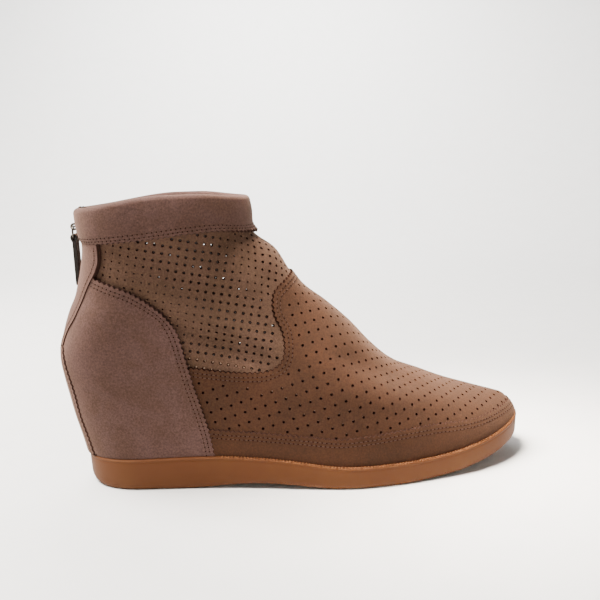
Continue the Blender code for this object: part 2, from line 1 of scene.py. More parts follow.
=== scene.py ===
"""Wedge ankle boot, right shoe: every surface, seam and finish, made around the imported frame.

Metres, +X to the toe, +Z up, -Y the outer side of the foot. The leather pieces are cut flat, as a
clicker cuts them, with their holes and pinked edges, and are then lasted: wrapped onto the shape of
the last. Lengths are metres unless a name says otherwise.
"""
import json
import logging
import math
from contextlib import contextmanager
from dataclasses import dataclass, field
from enum import Enum
from typing import Callable, Iterator

import bmesh
import bpy
import numpy as np
from mathutils import Matrix, Vector
from mathutils.bvhtree import BVHTree


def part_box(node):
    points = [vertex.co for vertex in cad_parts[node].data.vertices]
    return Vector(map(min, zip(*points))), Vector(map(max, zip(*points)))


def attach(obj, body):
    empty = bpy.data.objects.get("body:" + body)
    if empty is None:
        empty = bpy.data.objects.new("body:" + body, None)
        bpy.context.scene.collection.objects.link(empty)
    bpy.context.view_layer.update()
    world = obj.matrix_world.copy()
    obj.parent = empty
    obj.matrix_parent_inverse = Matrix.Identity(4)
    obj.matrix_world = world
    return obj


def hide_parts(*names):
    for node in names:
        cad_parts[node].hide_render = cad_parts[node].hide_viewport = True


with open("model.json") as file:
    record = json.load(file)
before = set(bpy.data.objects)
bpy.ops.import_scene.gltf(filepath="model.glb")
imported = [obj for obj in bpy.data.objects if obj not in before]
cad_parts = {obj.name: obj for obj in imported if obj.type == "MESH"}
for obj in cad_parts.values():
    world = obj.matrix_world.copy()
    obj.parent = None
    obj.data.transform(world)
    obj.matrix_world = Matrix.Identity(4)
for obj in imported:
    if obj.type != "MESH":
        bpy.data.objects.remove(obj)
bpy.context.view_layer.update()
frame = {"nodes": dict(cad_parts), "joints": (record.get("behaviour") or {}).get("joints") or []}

MM = 0.001
LOG = logging.getLogger("boot")
Array = np.ndarray


class Side(Enum):
    """Which side of the foot a seam runs on."""

    OUTER = -1
    INNER = 1


# Numbers and curves

def curve(xs: tuple, ys: tuple, x: Array) -> Array:
    """Smooth curve through a table's points.

    Args:
        xs: places of the points.
        ys: values at those places.
        x: places wanted.

    Returns:
        The curve's values.
    """
    xs = np.asarray(xs, float)
    ys = np.asarray(ys, float)
    step = np.diff(xs)
    slope = np.diff(ys) / step
    tangent = np.empty_like(ys)
    tangent[1:-1] = (slope[:-1] * step[1:] + slope[1:] * step[:-1]) / (step[1:] + step[:-1])
    tangent[0] = slope[0]
    tangent[-1] = slope[-1]
    x = np.clip(np.asarray(x, float), xs[0], xs[-1])
    i = np.clip(np.searchsorted(xs, x) - 1, 0, len(xs) - 2)
    h = step[i]
    t = (x - xs[i]) / h
    return ((2 * t**3 - 3 * t**2 + 1) * ys[i] + (t**3 - 2 * t**2 + t) * h * tangent[i]
            + (3 * t**2 - 2 * t**3) * ys[i + 1] + (t**3 - t**2) * h * tangent[i + 1])


def ease(value: Array, start: float, end: float) -> Array:
    """0 before start, 1 after end, smooth between."""
    t = np.clip((np.asarray(value, float) - start) / (end - start), 0.0, 1.0)
    return t * t * (3.0 - 2.0 * t)


def rounding(t: Array, power: float = 2.2) -> Array:
    """0 at an edge, 1 well inside it, along a superellipse."""
    t = np.clip(t, 0.0, 1.0)
    return (1.0 - (1.0 - t) ** power) ** (1.0 / power)


def unit(vectors: Array) -> Array:
    """The vectors at length one."""
    return vectors / np.maximum(np.linalg.norm(vectors, axis=-1, keepdims=True), 1e-12)


def lengths(path: Array) -> Array:
    """Distance along a path to each of its points."""
    return np.concatenate([[0], np.cumsum(np.linalg.norm(np.diff(path, axis=0), axis=1))])


def read(rows: Array, at: Array, wanted: Array) -> Array:
    """Rows for the places wanted, read between rows that stand at the places given."""
    return np.stack([np.interp(wanted, at, column) for column in rows.T], axis=1)


def even(path: Array, spacing: float, closed: bool = False) -> Array:
    """Points at an even spacing along a path.

    Args:
        path: points of the path.
        spacing: wanted distance between points.
        closed: whether the path returns to its start.

    Returns:
        The new points.
    """
    if closed:
        path = np.vstack([path, path[:1]])
    length = lengths(path)
    count = max(2, int(round(length[-1] / spacing)))
    points = read(path, length, np.linspace(0, length[-1], count + 1))
    return points[:-1] if closed else points


def join_sides(outer: Array, inner: Array) -> Array:
    """One closed ring from its two sides, which both run from the back to the front."""
    return np.concatenate([outer, inner[-2:0:-1]])


def smooth_line(points: Array, spacing: float, steps: int = 24) -> Array:
    """A smooth line through a few points, at an even spacing.

    Args:
        points: the few points.
        spacing: wanted distance between the line's points.
        steps: how many steps the curve takes from point to point before it is spaced.

    Returns:
        The line's points.
    """
    rank = np.arange(len(points), dtype=float)
    fine = np.linspace(0, rank[-1], steps * len(points))
    path = np.stack([curve(rank, column, fine) for column in points.T], axis=1)
    return even(path, spacing)


# The last

@dataclass
class Last:
    """The shape that the boot is made on: its own sizes, and the surface that they give.

    A place on the upper is (u, v): u runs from 0 at the back over the outer side to 1 at the
    front and over the inner side to 2 at the back again, v from 0 at the sole to 1 at the collar.
    Tables whose names end in _at hold places as shares: of the length for plan and band, of the
    collar's height for back, toe and shaft. The ridge's tables go down its line, row by row.
    """

    length: float = 0.258
    heel_set: float = 0.030
    ball: float = 0.086
    collar: float = 0.163
    collar_drop: float = 0.0060
    shaft: float = 0.030
    bulge: float = 0.009
    spring: float = 0.0115
    swing_out: float = 0.007
    arch: float = 0.0028
    band: float = 0.0186
    heel_round: float = 0.030
    toe_round: float = 0.048
    inset: float = 0.0036
    heel_bevel: float = 0.003
    fit: float = 0.0003
    low_ring: float = 0.112
    settled: float = 0.30
    drop_from: float = 0.80
    drop_reach: float = 0.22
    spring_span: tuple = (0.70, 0.30)
    arch_span: tuple = (0.22, 0.34)
    swing_from: float = 0.55
    shaft_blend: tuple = (0.31, 0.64)
    columns: int = 170
    rows: int = 150
    crowding: float = 0.38
    plan_at: tuple = (0.0, 0.12, 0.30, 0.45, 0.60, 0.68, 0.78, 0.90, 1.0)
    plan_outer: tuple = (0.298, 0.333, 0.385, 0.465, 0.525, 0.518, 0.478, 0.414, 0.352)
    plan_inner: tuple = (0.314, 0.349, 0.362, 0.378, 0.432, 0.474, 0.482, 0.430, 0.370)
    band_at: tuple = (0.0, 0.12, 0.30, 0.42, 0.55, 0.70, 1.0)
    band_height: tuple = (0.93, 0.96, 1.0, 0.92, 0.69, 0.68, 0.67)
    back_at: tuple = (0.08, 0.17, 0.25, 0.32, 0.39, 0.45, 0.494, 0.53, 0.574, 0.617, 0.654, 0.70,
                      0.772, 0.83, 0.90, 1.0)
    back_swell: tuple = (-0.25, 0.09, 0.43, 0.66, 0.87, 0.97, 0.88, 0.66, 0.40, 0.09, -0.24, -0.50,
                         -0.82, -0.98, -0.84, -0.45)
    ridge_along: tuple = (0.376, 0.377, 0.379, 0.400, 0.440, 0.469, 0.500, 0.546, 0.597, 0.647,
                          0.703, 0.766, 0.835, 0.905, 1.00)
    ridge_height: tuple = (1.0, 0.94, 0.885, 0.847, 0.797, 0.720, 0.656, 0.597, 0.523, 0.436,
                           0.366, 0.312, 0.263, 0.232, 0.190)
    ridge_round: tuple = (1.40, 1.40, 1.38, 1.32, 1.28, 1.22, 1.18, 1.15, 1.18, 1.22, 1.20, 1.10,
                          0.96, 0.80, 0.64)
    toe_at: tuple = (0.09, 0.148, 0.185, 0.213, 0.235, 0.27)
    toe_setback: tuple = (0.08, 0.20, 0.62, 1.12, 1.70, 2.7)
    shaft_at: tuple = (0.30, 0.55, 0.70, 0.80, 0.90, 1.0)
    shaft_width: tuple = (1.0, 0.96, 0.94, 0.97, 1.02, 1.05)
    grid: Array = field(default=None, repr=False)
    normal: Array = field(default=None, repr=False)

    def __post_init__(self) -> None:
        """Work out the ridge line and the grid of points on the upper."""
        rank = np.arange(len(self.ridge_along), dtype=float)
        fine = np.linspace(0, rank[-1], 8 * len(rank))
        self.ridge_x = self.length * curve(rank, self.ridge_along, fine) - self.heel_set
        self.ridge_z = self.collar * curve(rank, self.ridge_height, fine)
        self.ridge_reach = self.shaft * curve(rank, self.ridge_round, fine)
        levels = np.linspace(self.low_ring, 1.0, self.rows)
        rings = np.array([self.ring(level) for level in levels])
        self.grid = rings
        self.normal = self.grid_normals(rings)
        self.grid = rings + self.normal * fold_height(rings)[..., None]
        self.normal = self.grid_normals(self.grid)

    @staticmethod
    def grid_normals(grid: Array) -> Array:
        """Outward normals of a grid of rings."""
        along = np.roll(grid, -1, axis=1) - np.roll(grid, 1, axis=1)
        return unit(np.cross(along, np.gradient(grid, axis=0)))

    def share(self, x: Array) -> Array:
        """Share of the sole's length at x."""
        return (np.asarray(x, float) + self.heel_set) / self.length

    def toe_lift(self, x: Array) -> Array:
        """Height of the toe spring at x."""
        start, span = self.spring_span
        return self.spring * np.clip((self.share(x) - start) / span, 0, 1) ** 1.8

    def sole_bottom(self, x: Array) -> Array:
        """Height of the tread under x.

        Args:
            x: places along the boot.

        Returns:
            Heights, with arch, toe spring and the heel's bevel.
        """
        s = self.share(x)
        start, span = self.arch_span
        arch = np.clip((s - start) / span, 0, 1)
        bevel = self.heel_bevel * np.clip(1 - s * self.length / (4 * self.heel_bevel), 0, 1) ** 2
        return self.toe_lift(x) + self.arch * np.sin(np.pi * arch) ** 2 + bevel

    def sole_top(self, x: Array) -> Array:
        """Height of the sole's upper edge at x."""
        return self.band * curve(self.band_at, self.band_height, self.share(x)) + self.toe_lift(x)

    def swing(self, x: Array) -> Array:
        """Sideways shift of the middle line."""
        return self.swing_out * ease(self.share(x), self.swing_from, 1.0)

    def plan_width(self, x: Array, side: int) -> Array:
        """Half width of the sole before its ends are rounded."""
        column = self.plan_outer if side < 0 else self.plan_inner
        return self.ball * curve(self.plan_at, column, self.share(x))

    def back_x(self, z: Array) -> Array:
        """Back of the upper's wall at height z."""
        return -self.heel_set - self.bulge * curve(self.back_at, self.back_swell, z / self.collar)

    def toe_x(self, z: Array) -> Array:
        """Toe wall at height z."""
        setback = self.bulge * curve(self.toe_at, self.toe_setback, z / self.collar)
        return self.length - self.heel_set - setback

    def front_x(self, z: Array) -> Array:
        """Front of the upper's wall at height z."""
        ridge = np.interp(-np.asarray(z, float), -self.ridge_z, self.ridge_x)
        return np.minimum(ridge, self.toe_x(z))

    def ridge_depth(self, x: Array, z: Array) -> Array:
        """Distance inside the ridge line, as a share of the rounding there.

        Args:
            x: places along the boot.
            z: heights.

        Returns:
            Shares: 0 on the ridge line, 1 where its rounding ends.
        """
        ax, az = self.ridge_x[:-1], self.ridge_z[:-1]
        dx, dz = np.diff(self.ridge_x), np.diff(self.ridge_z)
        along = ((x[:, None] - ax) * dx + (z[:, None] - az) * dz) / (dx**2 + dz**2)
        along = np.clip(along, 0, 1)
        far = np.hypot(x[:, None] - ax - along * dx, z[:, None] - az - along * dz)
        near = np.argmin(far, axis=1)
        row = np.arange(len(x))
        low, high = self.ridge_reach[near], self.ridge_reach[near + 1]
        return far[row, near] / (low + along[row, near] * (high - low))

    def half_width(self, x: Array, z: Array, side: int) -> Array:
        """Half width of the upper's wall at (x, z).

        Args:
            x: places along the boot.
            z: heights.
            side: -1 on the outer side, 1 on the inner.

        Returns:
            Half widths.
        """
        share = z / self.collar
        blend = ease(share, *self.shaft_blend)
        foot = self.plan_width(x, side) - self.inset
        foot = foot * rounding((self.toe_x(z) - x) / self.toe_round)
        shaft = self.shaft * curve(self.shaft_at, self.shaft_width, share)
        body = (1 - blend) * foot + blend * shaft
        body = body * rounding((x - self.back_x(z)) / self.heel_round)
        return body * rounding(self.ridge_depth(x, z))

    def ring_height(self, level: float, x: Array) -> Array:
        """Height at x of the ring whose nominal height is a share of the collar's.

        Args:
            level: the nominal height, as a share of the collar's.
            x: places along the boot.

        Returns:
            Heights: the lowest ring follows the sole's edge, the top one dips at the back.
        """
        settle = 1 - ease(level, self.low_ring, self.settled)
        rear = 1 - ease(self.share(x), 0.0, self.drop_reach)
        drop = self.collar_drop * ease(level, self.drop_from, 1.0) * rear
        start = self.collar * self.low_ring
        return self.collar * level + settle * (self.sole_top(x) + self.fit - start) - drop

    def half_ring(self, path: Array) -> Array:
        """Points along one side of a ring, closer together at heel and toe.

        Args:
            path: a fine path along that side.

        Returns:
            One point for each column of the grid, with both ends.
        """
        t = np.linspace(0, 1, self.columns + 1)
        t = t - self.crowding * np.sin(2 * np.pi * t) / (2 * np.pi)
        length = lengths(path)
        return read(path, length, t * length[-1])

    def ring(self, level: float, tries: int = 12, points: int = 700) -> Array:
        """One closed ring of points on the upper.

        Args:
            level: the ring's nominal height, as a share of the collar's.
            tries: steps of the search for the ring's ends, whose height hangs on their place.
            points: how many points each side has before they are spaced.

        Returns:
            The ring's points, from the back over the outer side.
        """
        start = end = 0.0
        for _ in range(tries):
            start = float(self.back_x(self.ring_height(level, start)))
            end = float(self.front_x(self.ring_height(level, end)))
        x = start + (end - start) * (1 - np.cos(np.linspace(0, np.pi, points))) / 2
        z = self.ring_height(level, x)
        return join_sides(*(self.half_ring(np.stack(
            [x, self.swing(x) + side * self.half_width(x, z, side), z], axis=1))
            for side in (-1, 1)))

    def sample(self, table: Array, u: Array, v: Array) -> Array:
        """Read a grid at places (u, v) by cubic steps between its points.

        Args:
            table: values at the grid's points.
            u: places round the boot.
            v: places up the boot.

        Returns:
            Values at those places.
        """
        count = 2 * self.columns
        x = np.mod(np.asarray(u, float), 2.0) * self.columns
        y = np.clip(np.asarray(v, float), 0.0, 1.0) * (self.rows - 1)
        ix, iy = np.floor(x).astype(int), np.clip(np.floor(y).astype(int), 0, self.rows - 2)
        total = 0.0
        for k, across in enumerate(self.cubic(x - ix)):
            for m, up in enumerate(self.cubic(y - iy)):
                row = np.clip(iy + m - 1, 0, self.rows - 1)
                total = total + (across * up)[..., None] * table[row, (ix + k - 1) % count]
        return total

    @staticmethod
    def cubic(t: Array) -> tuple:
        """Four weights of a smooth curve through even points."""
        return (-0.5 * t + t**2 - 0.5 * t**3, 1 - 2.5 * t**2 + 1.5 * t**3,
                0.5 * t + 2 * t**2 - 1.5 * t**3, -0.5 * t**2 + 0.5 * t**3)

    def outward(self, u: Array, v: Array) -> Array:
        """Unit normals of the surface at places (u, v)."""
        return unit(self.sample(self.normal, u, v))

    def place(self, u: Array, v: Array, height: Array = 0.0) -> Array:
        """Points that stand a height off the upper's surface.

        Args:
            u: places round the boot.
            v: places up the boot.
            height: distance outwards along the surface's normal.

        Returns:
            Points in metres.
        """
        normal = self.outward(u, v)
        height = np.asarray(height, float)
        point = self.sample(self.grid, u, v) + normal * height[..., None]
        low = np.asarray(v) <= 0.0
        if np.any(low):
            floor = self.sole_top(point[..., 0]) + self.fit
            point[..., 2] = np.where(low, floor, point[..., 2])
        return point

    def jacobian(self, u: Array, v: Array) -> tuple:
        """How a point moves with u and with v.

        Args:
            u: places round the boot.
            v: places up the boot.

        Returns:
            Vectors for a step of u, and for a step of v.
        """
        du, dv = 1e-3, 2e-3
        by_u = (self.sample(self.grid, u + du, v) - self.sample(self.grid, u - du, v)) / (2 * du)
        top, low = np.minimum(v + dv, 1.0), np.maximum(v - dv, 0.0)
        by_v = (self.sample(self.grid, u, top) - self.sample(self.grid, u, low))
        return by_u, by_v / (top - low)[..., None]

    def shift(self, u: Array, v: Array, move: Array) -> tuple:
        """The places reached by moving a real distance along the surface.

        Args:
            u: places round the boot.
            v: places up the boot.
            move: the distances, as vectors in the surface.

        Returns:
            The new u and v.
        """
        by_u, by_v = self.jacobian(u, v)
        a, b, c = (by_u * by_u).sum(-1), (by_u * by_v).sum(-1), (by_v * by_v).sum(-1)
        p, q = (move * by_u).sum(-1), (move * by_v).sum(-1)
        det = a * c - b * b
        return u + (c * p - b * q) / det, v + (a * q - b * p) / det

    def locate(self, x: Array, z: Array, side: Side) -> Array:
        """Places (u, v) of points given in side view.

        Args:
            x: their places along the boot.
            z: their heights.
            side: the side of the foot.

        Returns:
            An array of (u, v) rows.
        """
        grid = self.grid[:, :self.columns + 1] if side is Side.OUTER else self.inner_half()
        rank, rows = np.arange(self.columns + 1), np.arange(self.rows)
        places = []
        for px, pz in zip(x, z):
            at = np.array([np.interp(px, ring, rank) for ring in grid[..., 0]])
            level = np.array([np.interp(a, rank, ring) for a, ring in zip(at, grid[..., 2])])
            row = float(np.interp(pz, level, rows))
            column = float(np.interp(row, rows, at))
            places.append((column / self.columns, row / (self.rows - 1)))
        found = np.array(places)
        if side is Side.INNER:
            found[:, 0] = 2.0 - found[:, 0]
        return found

    def inner_half(self) -> Array:
        """The inner side's part of the grid, counted from the back to the front."""
        return np.concatenate([self.grid[:, :1], self.grid[:, :self.columns - 1:-1]], axis=1)

    def level_line(self, height: Callable, u: Array) -> Array:
        """Places on the upper, one for each u, that lie on a side view height line.

        Args:
            height: the line's height as a function of x.
            u: places round the boot.

        Returns:
            Places (u, v).
        """
        low, high = np.zeros_like(u), np.ones_like(u)
        for _ in range(30):
            middle = (low + high) / 2
            point = self.sample(self.grid, u, middle)
            above = point[:, 2] > height(point[:, 0])
            high = np.where(above, middle, high)
            low = np.where(above, low, middle)
        return np.stack([u, (low + high) / 2], axis=1)


# Folds of the leather: points in side view, width and height in millimetres (below zero a trough)

FOLDS = (
    (((8, 118), (24, 106), (46, 95), (66, 85), (80, 77)), 5.5, 1.9),
    (((14, 103), (28, 92), (50, 82), (68, 73), (82, 65)), 6.0, -2.4),
    (((16, 136), (30, 124), (46, 112), (58, 103)), 8.0, -1.2),
    (((60, 140), (63, 124), (72, 106), (79, 89)), 4.5, 2.0),
    (((71, 134), (77, 118), (84, 104)), 4.5, -1.2),
    (((94, 104), (100, 88), (106, 74)), 7.0, -0.9),
    (((112, 74), (130, 65), (146, 58), (160, 51)), 5.5, -2.3),
    (((116, 56), (136, 48), (156, 44), (176, 40), (194, 37)), 6.0, 1.5),
    (((28, 60), (48, 66), (66, 60)), 7.0, 0.6),
)
# Where the holes of the quarter look half shut, over the counter and on the front fold: points in
# side view, width in millimetres and share of the hole that is lost
SHUT = (
    (((-8, 132), (8, 120), (22, 108), (33, 96)), 11.0, 0.46),
    (((58, 142), (63, 128), (70, 112)), 7.0, 0.36),
)


def side_distance(points: Array, line: tuple) -> tuple:
    """Distance in side view from points to a line in millimetres, and the share along it.

    Args:
        points: points on the upper.
        line: the line's own points in side view, in millimetres.

    Returns:
        Distances, and for each the share of the line at which it is nearest.
    """
    path = smooth_line(np.array(line, float), 2.0)
    away = np.hypot(points[..., 0, None] / MM - path[:, 0], points[..., 2, None] / MM - path[:, 1])
    return away.min(axis=-1), np.argmin(away, axis=-1) / (len(path) - 1)


def fold_height(points: Array) -> Array:
    """How far the leather swells (or sinks, below zero) at points of the upper.

    Args:
        points: points on the upper.

    Returns:
        Distances along the surface's normal.
    """
    height = np.zeros(points.shape[:-1])
    for line, width, rise in FOLDS:
        away, share = side_distance(points, line)
        # A fold runs out softly at both its ends
        taper = np.sin(np.pi * (0.04 + 0.92 * share)) ** 0.6
        height += rise * taper * np.exp(-(away / width) ** 2)
    return height * MM


# The pattern: seam lines of the upper in side view

@dataclass
class Pattern:
    """Where the leather pieces meet, as shares of the sole's length and the collar's height."""

    last: Last
    vamp: tuple = ((0.50, 0.745), (0.438, 0.675), (0.426, 0.640), (0.428, 0.590), (0.444, 0.535),
                   (0.447, 0.480), (0.440, 0.438), (0.420, 0.412), (0.392, 0.402), (0.335, 0.407),
                   (0.244, 0.426), (0.210, 0.430))
    foxing: tuple = ((0.250, 0.222), (0.279, 0.211), (0.32, 0.203), (0.372, 0.199), (0.428, 0.192),
                     (0.49, 0.184), (0.555, 0.175), (0.62, 0.181), (0.70, 0.188), (0.78, 0.184),
                     (0.85, 0.174), (0.92, 0.176), (1.04, 0.190))
    heel: tuple = ((0.045, 0.748), (0.075, 0.726), (0.124, 0.695), (0.151, 0.672), (0.174, 0.645),
                   (0.198, 0.611), (0.215, 0.568), (0.229, 0.512), (0.240, 0.444), (0.256, 0.340),
                   (0.272, 0.250), (0.283, 0.170), (0.290, 0.09))
    stay: tuple = ((0.078, 0.87), (0.078, 0.80), (0.070, 0.760), (0.050, 0.704), (0.031, 0.642),
                   (0.016, 0.599), (-0.004, 0.552), (-0.016, 0.510), (-0.019, 0.480),
                   (-0.016, 0.43), (-0.005, 0.340), (0.004, 0.253), (0.018, 0.170), (0.030, 0.09))
    cuff: tuple = ((-0.10, 0.842), (0.047, 0.846), (0.117, 0.852), (0.20, 0.862), (0.26, 0.871),
                   (0.32, 0.873), (0.36, 0.862), (0.40, 0.850), (0.46, 0.842))
    split: float = 0.497
    zip_half: float = 0.0046
    zip_foot: float = 0.083
    line_step: float = 1.0 * MM
    instep_gap: float = 0.015
    instep_reach: float = 0.09
    instep_rounds: int = 60
    tooth_pitch: float = 2.9 * MM
    tooth_depth: float = 1.0 * MM

    def side_view(self, table: tuple) -> Array:
        """A seam's table in metres."""
        return np.array(table) * (self.last.length, self.last.collar) - (self.last.heel_set, 0)

    def height_at(self, table: tuple, drop: float = 0.0) -> Callable:
        """A level seam's height as a function of x, lowered by a distance."""
        line = self.side_view(table)
        return lambda x: curve(line[:, 0], line[:, 1], x) - drop

    def level(self, table: tuple, ends: tuple, drop: float = 0.0) -> Array:
        """A seam that runs round the boot, as places (u, v) from one end to the other."""
        u = np.linspace(*ends, 420)
        return self.pace(self.last.level_line(self.height_at(table, drop), u), self.line_step)

    def steep(self, table: tuple, side: Side, keep: slice = slice(None)) -> Array:
        """A seam that runs down one side of the boot.

        Args:
            table: the seam's table.
            side: the side of the foot.
            keep: the rows of the table that are used.

        Returns:
            Places (u, v) from the seam's top.
        """
        line = smooth_line(self.side_view(table)[keep], 2.0 * MM)
        found = self.last.locate(line[:, 0], line[:, 1], side)
        return self.pace(found, self.line_step)

    def vamp_seam(self) -> Array:
        """The vamp's edge, from the outer heel panel over the instep to the inner one.

        Returns:
            Places (u, v), rounded off where the two sides meet on the instep.
        """
        line = smooth_line(self.side_view(self.vamp)[::-1], 1.5 * MM)
        outer, inner = (self.last.locate(line[:, 0], line[:, 1], side) for side in Side)
        joined = np.vstack([outer[outer[:, 0] < 1 - self.instep_gap],
                            inner[inner[:, 0] > 1 + self.instep_gap][::-1]])
        joined = self.pace(joined, self.line_step)
        soft = joined.copy()
        for _ in range(self.instep_rounds):
            soft[1:-1] = (soft[:-2] + 2 * soft[1:-1] + soft[2:]) / 4
        near = np.exp(-((joined[:, :1] - 1) / self.instep_reach) ** 2)
        return self.pace(joined + near * (soft - joined), self.line_step)

    def zip_edge(self, half: float, side: Side, low: float, high: float) -> Array:
        """A line down the back beside the zip.

        Args:
            half: its sideways distance from the middle of the back.
            side: the side of the foot.
            low: height of its lower end.
            high: height of its upper end.

        Returns:
            Places (u, v) from its lower end.
        """
        rows = np.arange(self.last.rows)
        # The grid's first columns, counted from the back, reach well past the zip
        rank = np.arange(40)
        grid = self.last.grid if side is Side.OUTER else np.roll(self.last.grid[:, ::-1], 1, 1)
        grid = grid[:, :len(rank)]
        column = np.array([np.interp(half, np.abs(grid[r, :, 1]), rank) for r in rows])
        heights = np.array([np.interp(c, rank, grid[r, :, 2]) for r, c in zip(rows, column)])
        row = np.interp(np.linspace(low, high, 60), heights, rows)
        u = np.interp(row, rows, column) / self.last.columns
        found = np.stack([u, row / (self.last.rows - 1)], axis=1)
        if side is Side.INNER:
            found[:, 0] = 2.0 - found[:, 0]
        return found

    def pace(self, uv: Array, spacing: float) -> Array:
        """Places along a line at an even real spacing.

        Args:
            uv: the line's places.
            spacing: wanted distance between places on the boot.

        Returns:
            The new places.
        """
        rank = np.arange(len(uv))
        uv = read(uv, rank, np.linspace(0, rank[-1], 6 * len(uv)))
        length = lengths(self.last.place(uv[:, 0], np.clip(uv[:, 1], 1e-4, 1)))
        count = max(3, int(round(length[-1] / spacing)) + 1)
        return read(uv, length, np.linspace(0, length[-1], count))

    def left(self, uv: Array) -> Array:
        """Unit vectors in the surface, to the left of a line's run as seen from outside."""
        run = np.gradient(self.last.place(uv[:, 0], uv[:, 1]), axis=0)
        return unit(np.cross(self.last.outward(uv[:, 0], uv[:, 1]), run))

    def beside(self, uv: Array, distance: float) -> Array:
        """A line moved to its left by a real distance."""
        move = self.left(uv) * distance
        return np.stack(self.last.shift(uv[:, 0], uv[:, 1], move), axis=1)

    def pinked(self, uv: Array, skirt: float = 0.0, teeth: bool = True) -> Array:
        """A line with the zigzag teeth of pinking shears, or cut plain.

        Args:
            uv: the line's places.
            skirt: how far the flesh side's edge stands to the left of the nap side's.
            teeth: whether the edge has teeth.

        Returns:
            Places (u, v) of the nap side's edge and then of the flesh side's, one row each.
        """
        line = self.pace(uv, self.tooth_pitch / 2)
        left = self.left(line)
        depth = self.tooth_depth if teeth else 0.0
        out = depth * (np.arange(len(line)) % 2 - 0.5)
        moves = (left * (out + away)[:, None] for away in (0.0, skirt))
        return np.stack([np.stack(self.last.shift(line[:, 0], line[:, 1], move), axis=1)
                         for move in moves], axis=1)


# Blender helpers

def linear(code: str, alpha: float = 1.0) -> tuple:
    """An sRGB hex colour as linear values.

    Args:
        code: the colour, as #RRGGBB.
        alpha: its opacity.

    Returns:
        Red, green, blue and opacity.
    """
    parts = [int(code[k:k + 2], 16) / 255 for k in (1, 3, 5)]
    parts = [p / 12.92 if p <= 0.04045 else ((p + 0.055) / 1.055) ** 2.4 for p in parts]
    return (*parts, alpha)


def fill(tree: bpy.types.NodeTree, made: bpy.types.Node, inputs: dict) -> bpy.types.Node:
    """Set a node's inputs, each to a value or linked to another node's output.

    A Map Range node's inputs 1 to 4 are its ranges from and to, least first. A colour Mix node's
    inputs 0, 6 and 7 are its share and its two colours, and its output 2 is the colour.

    Args:
        tree: the material's tree.
        made: the node.
        inputs: values, or other nodes' outputs, by the socket's name or number.

    Returns:
        The node.
    """
    for key, value in inputs.items():
        if isinstance(value, bpy.types.NodeSocket):
            tree.links.new(value, made.inputs[key])
        else:
            made.inputs[key].default_value = value
    return made


def node(tree: bpy.types.NodeTree, kind: str, inputs: dict, **settings: object) -> bpy.types.Node:
    """Add a node with its settings and links.

    Args:
        tree: the material's tree.
        kind: the node's type.
        inputs: as for fill.
        settings: the node's own properties.

    Returns:
        The new node.
    """
    made = tree.nodes.new(kind)
    for key, value in settings.items():
        setattr(made, key, value)
    return fill(tree, made, inputs)


def select(thing: bpy.types.Object) -> bpy.types.Object:
    """Make one object the only selected and active one.

    Args:
        thing: the object.

    Returns:
        The same object.
    """
    bpy.ops.object.select_all(action='DESELECT')
    thing.select_set(True)
    bpy.context.view_layer.objects.active = thing
    return thing


def add(primitive: Callable, **settings: object) -> bpy.types.Object:
    """Add a primitive by its operator, with nothing else selected.

    Args:
        primitive: the operator.
        settings: its settings.

    Returns:
        The new object.
    """
    bpy.ops.object.select_all(action='DESELECT')
    primitive(**settings)
    return bpy.context.object


@contextmanager
def edit_mode(thing: bpy.types.Object) -> Iterator[None]:
    """Edit one object with all of it selected, and leave edit mode again at the end.

    Args:
        thing: the object.
    """
    select(thing)
    bpy.ops.object.mode_set(mode='EDIT')
    bpy.ops.mesh.select_all(action='SELECT')
    yield
    bpy.ops.object.mode_set(mode='OBJECT')


def join(thing: bpy.types.Object, *others: bpy.types.Object) -> bpy.types.Object:
    """Join other objects to one of them.

    Args:
        thing: the object that stays.
        others: the objects that become a part of it.

    Returns:
        The joined object.
    """
    select(thing)
    for other in others:
        other.select_set(True)
    bpy.ops.object.join()
    return thing


def coordinates(thing: bpy.types.Object) -> Array:
    """The mesh's points as an array.

    Args:
        thing: the object.

    Returns:
        Its points, n x 3.
    """
    flat = np.empty(3 * len(thing.data.vertices), np.float32)
    thing.data.vertices.foreach_get("co", flat)
    return flat.reshape(-1, 3).astype(float)


def move_points(thing: bpy.types.Object, points: Array) -> None:
    """Set the mesh's points from an array."""
    thing.data.vertices.foreach_set("co", np.asarray(points, np.float32).ravel())
    thing.data.update()


def apply(thing: bpy.types.Object, kind: str, **settings: object) -> None:
    """Add a modifier and apply it.

    Args:
        thing: the object.
        kind: the modifier's type.
    """
    step = thing.modifiers.new(kind.title(), kind)
    for key, value in settings.items():
        setattr(step, key, value)
    select(thing)
    bpy.ops.object.modifier_apply(modifier=step.name)


def carve(thing: bpy.types.Object, cutter: bpy.types.Object, operation: str) -> None:
    """Apply a Boolean and drop its cutter."""
    apply(thing, 'BOOLEAN', object=cutter, operation=operation, solver='MANIFOLD')
    bpy.data.objects.remove(cutter, do_unlink=True)


def weld(thing: bpy.types.Object, distance: float = 0.01 * MM) -> None:
    """Merge points that meet and turn all faces outwards.

    Args:
        thing: the object.
        distance: how close points count as one.
    """
    with edit_mode(thing):
        bpy.ops.mesh.remove_doubles(threshold=distance)
        bpy.ops.mesh.normals_make_consistent(inside=False)


def sheet_grid(name: str, across: int, up: int) -> bpy.types.Object:
    """A flat grid from (0, 0) to (1, 1), ready to be shaped.

    Args:
        name: the new object's name.
        across: how many faces it has along x.
        up: how many faces it has along y.

    Returns:
        The grid.
    """
    thing = add(bpy.ops.mesh.primitive_grid_add, x_subdivisions=across, y_subdivisions=up,
                size=1, location=(0, 0, 0))
    thing.name = name
    with edit_mode(thing):
        bpy.ops.transform.translate(value=(0.5, 0.5, 0))
    return thing


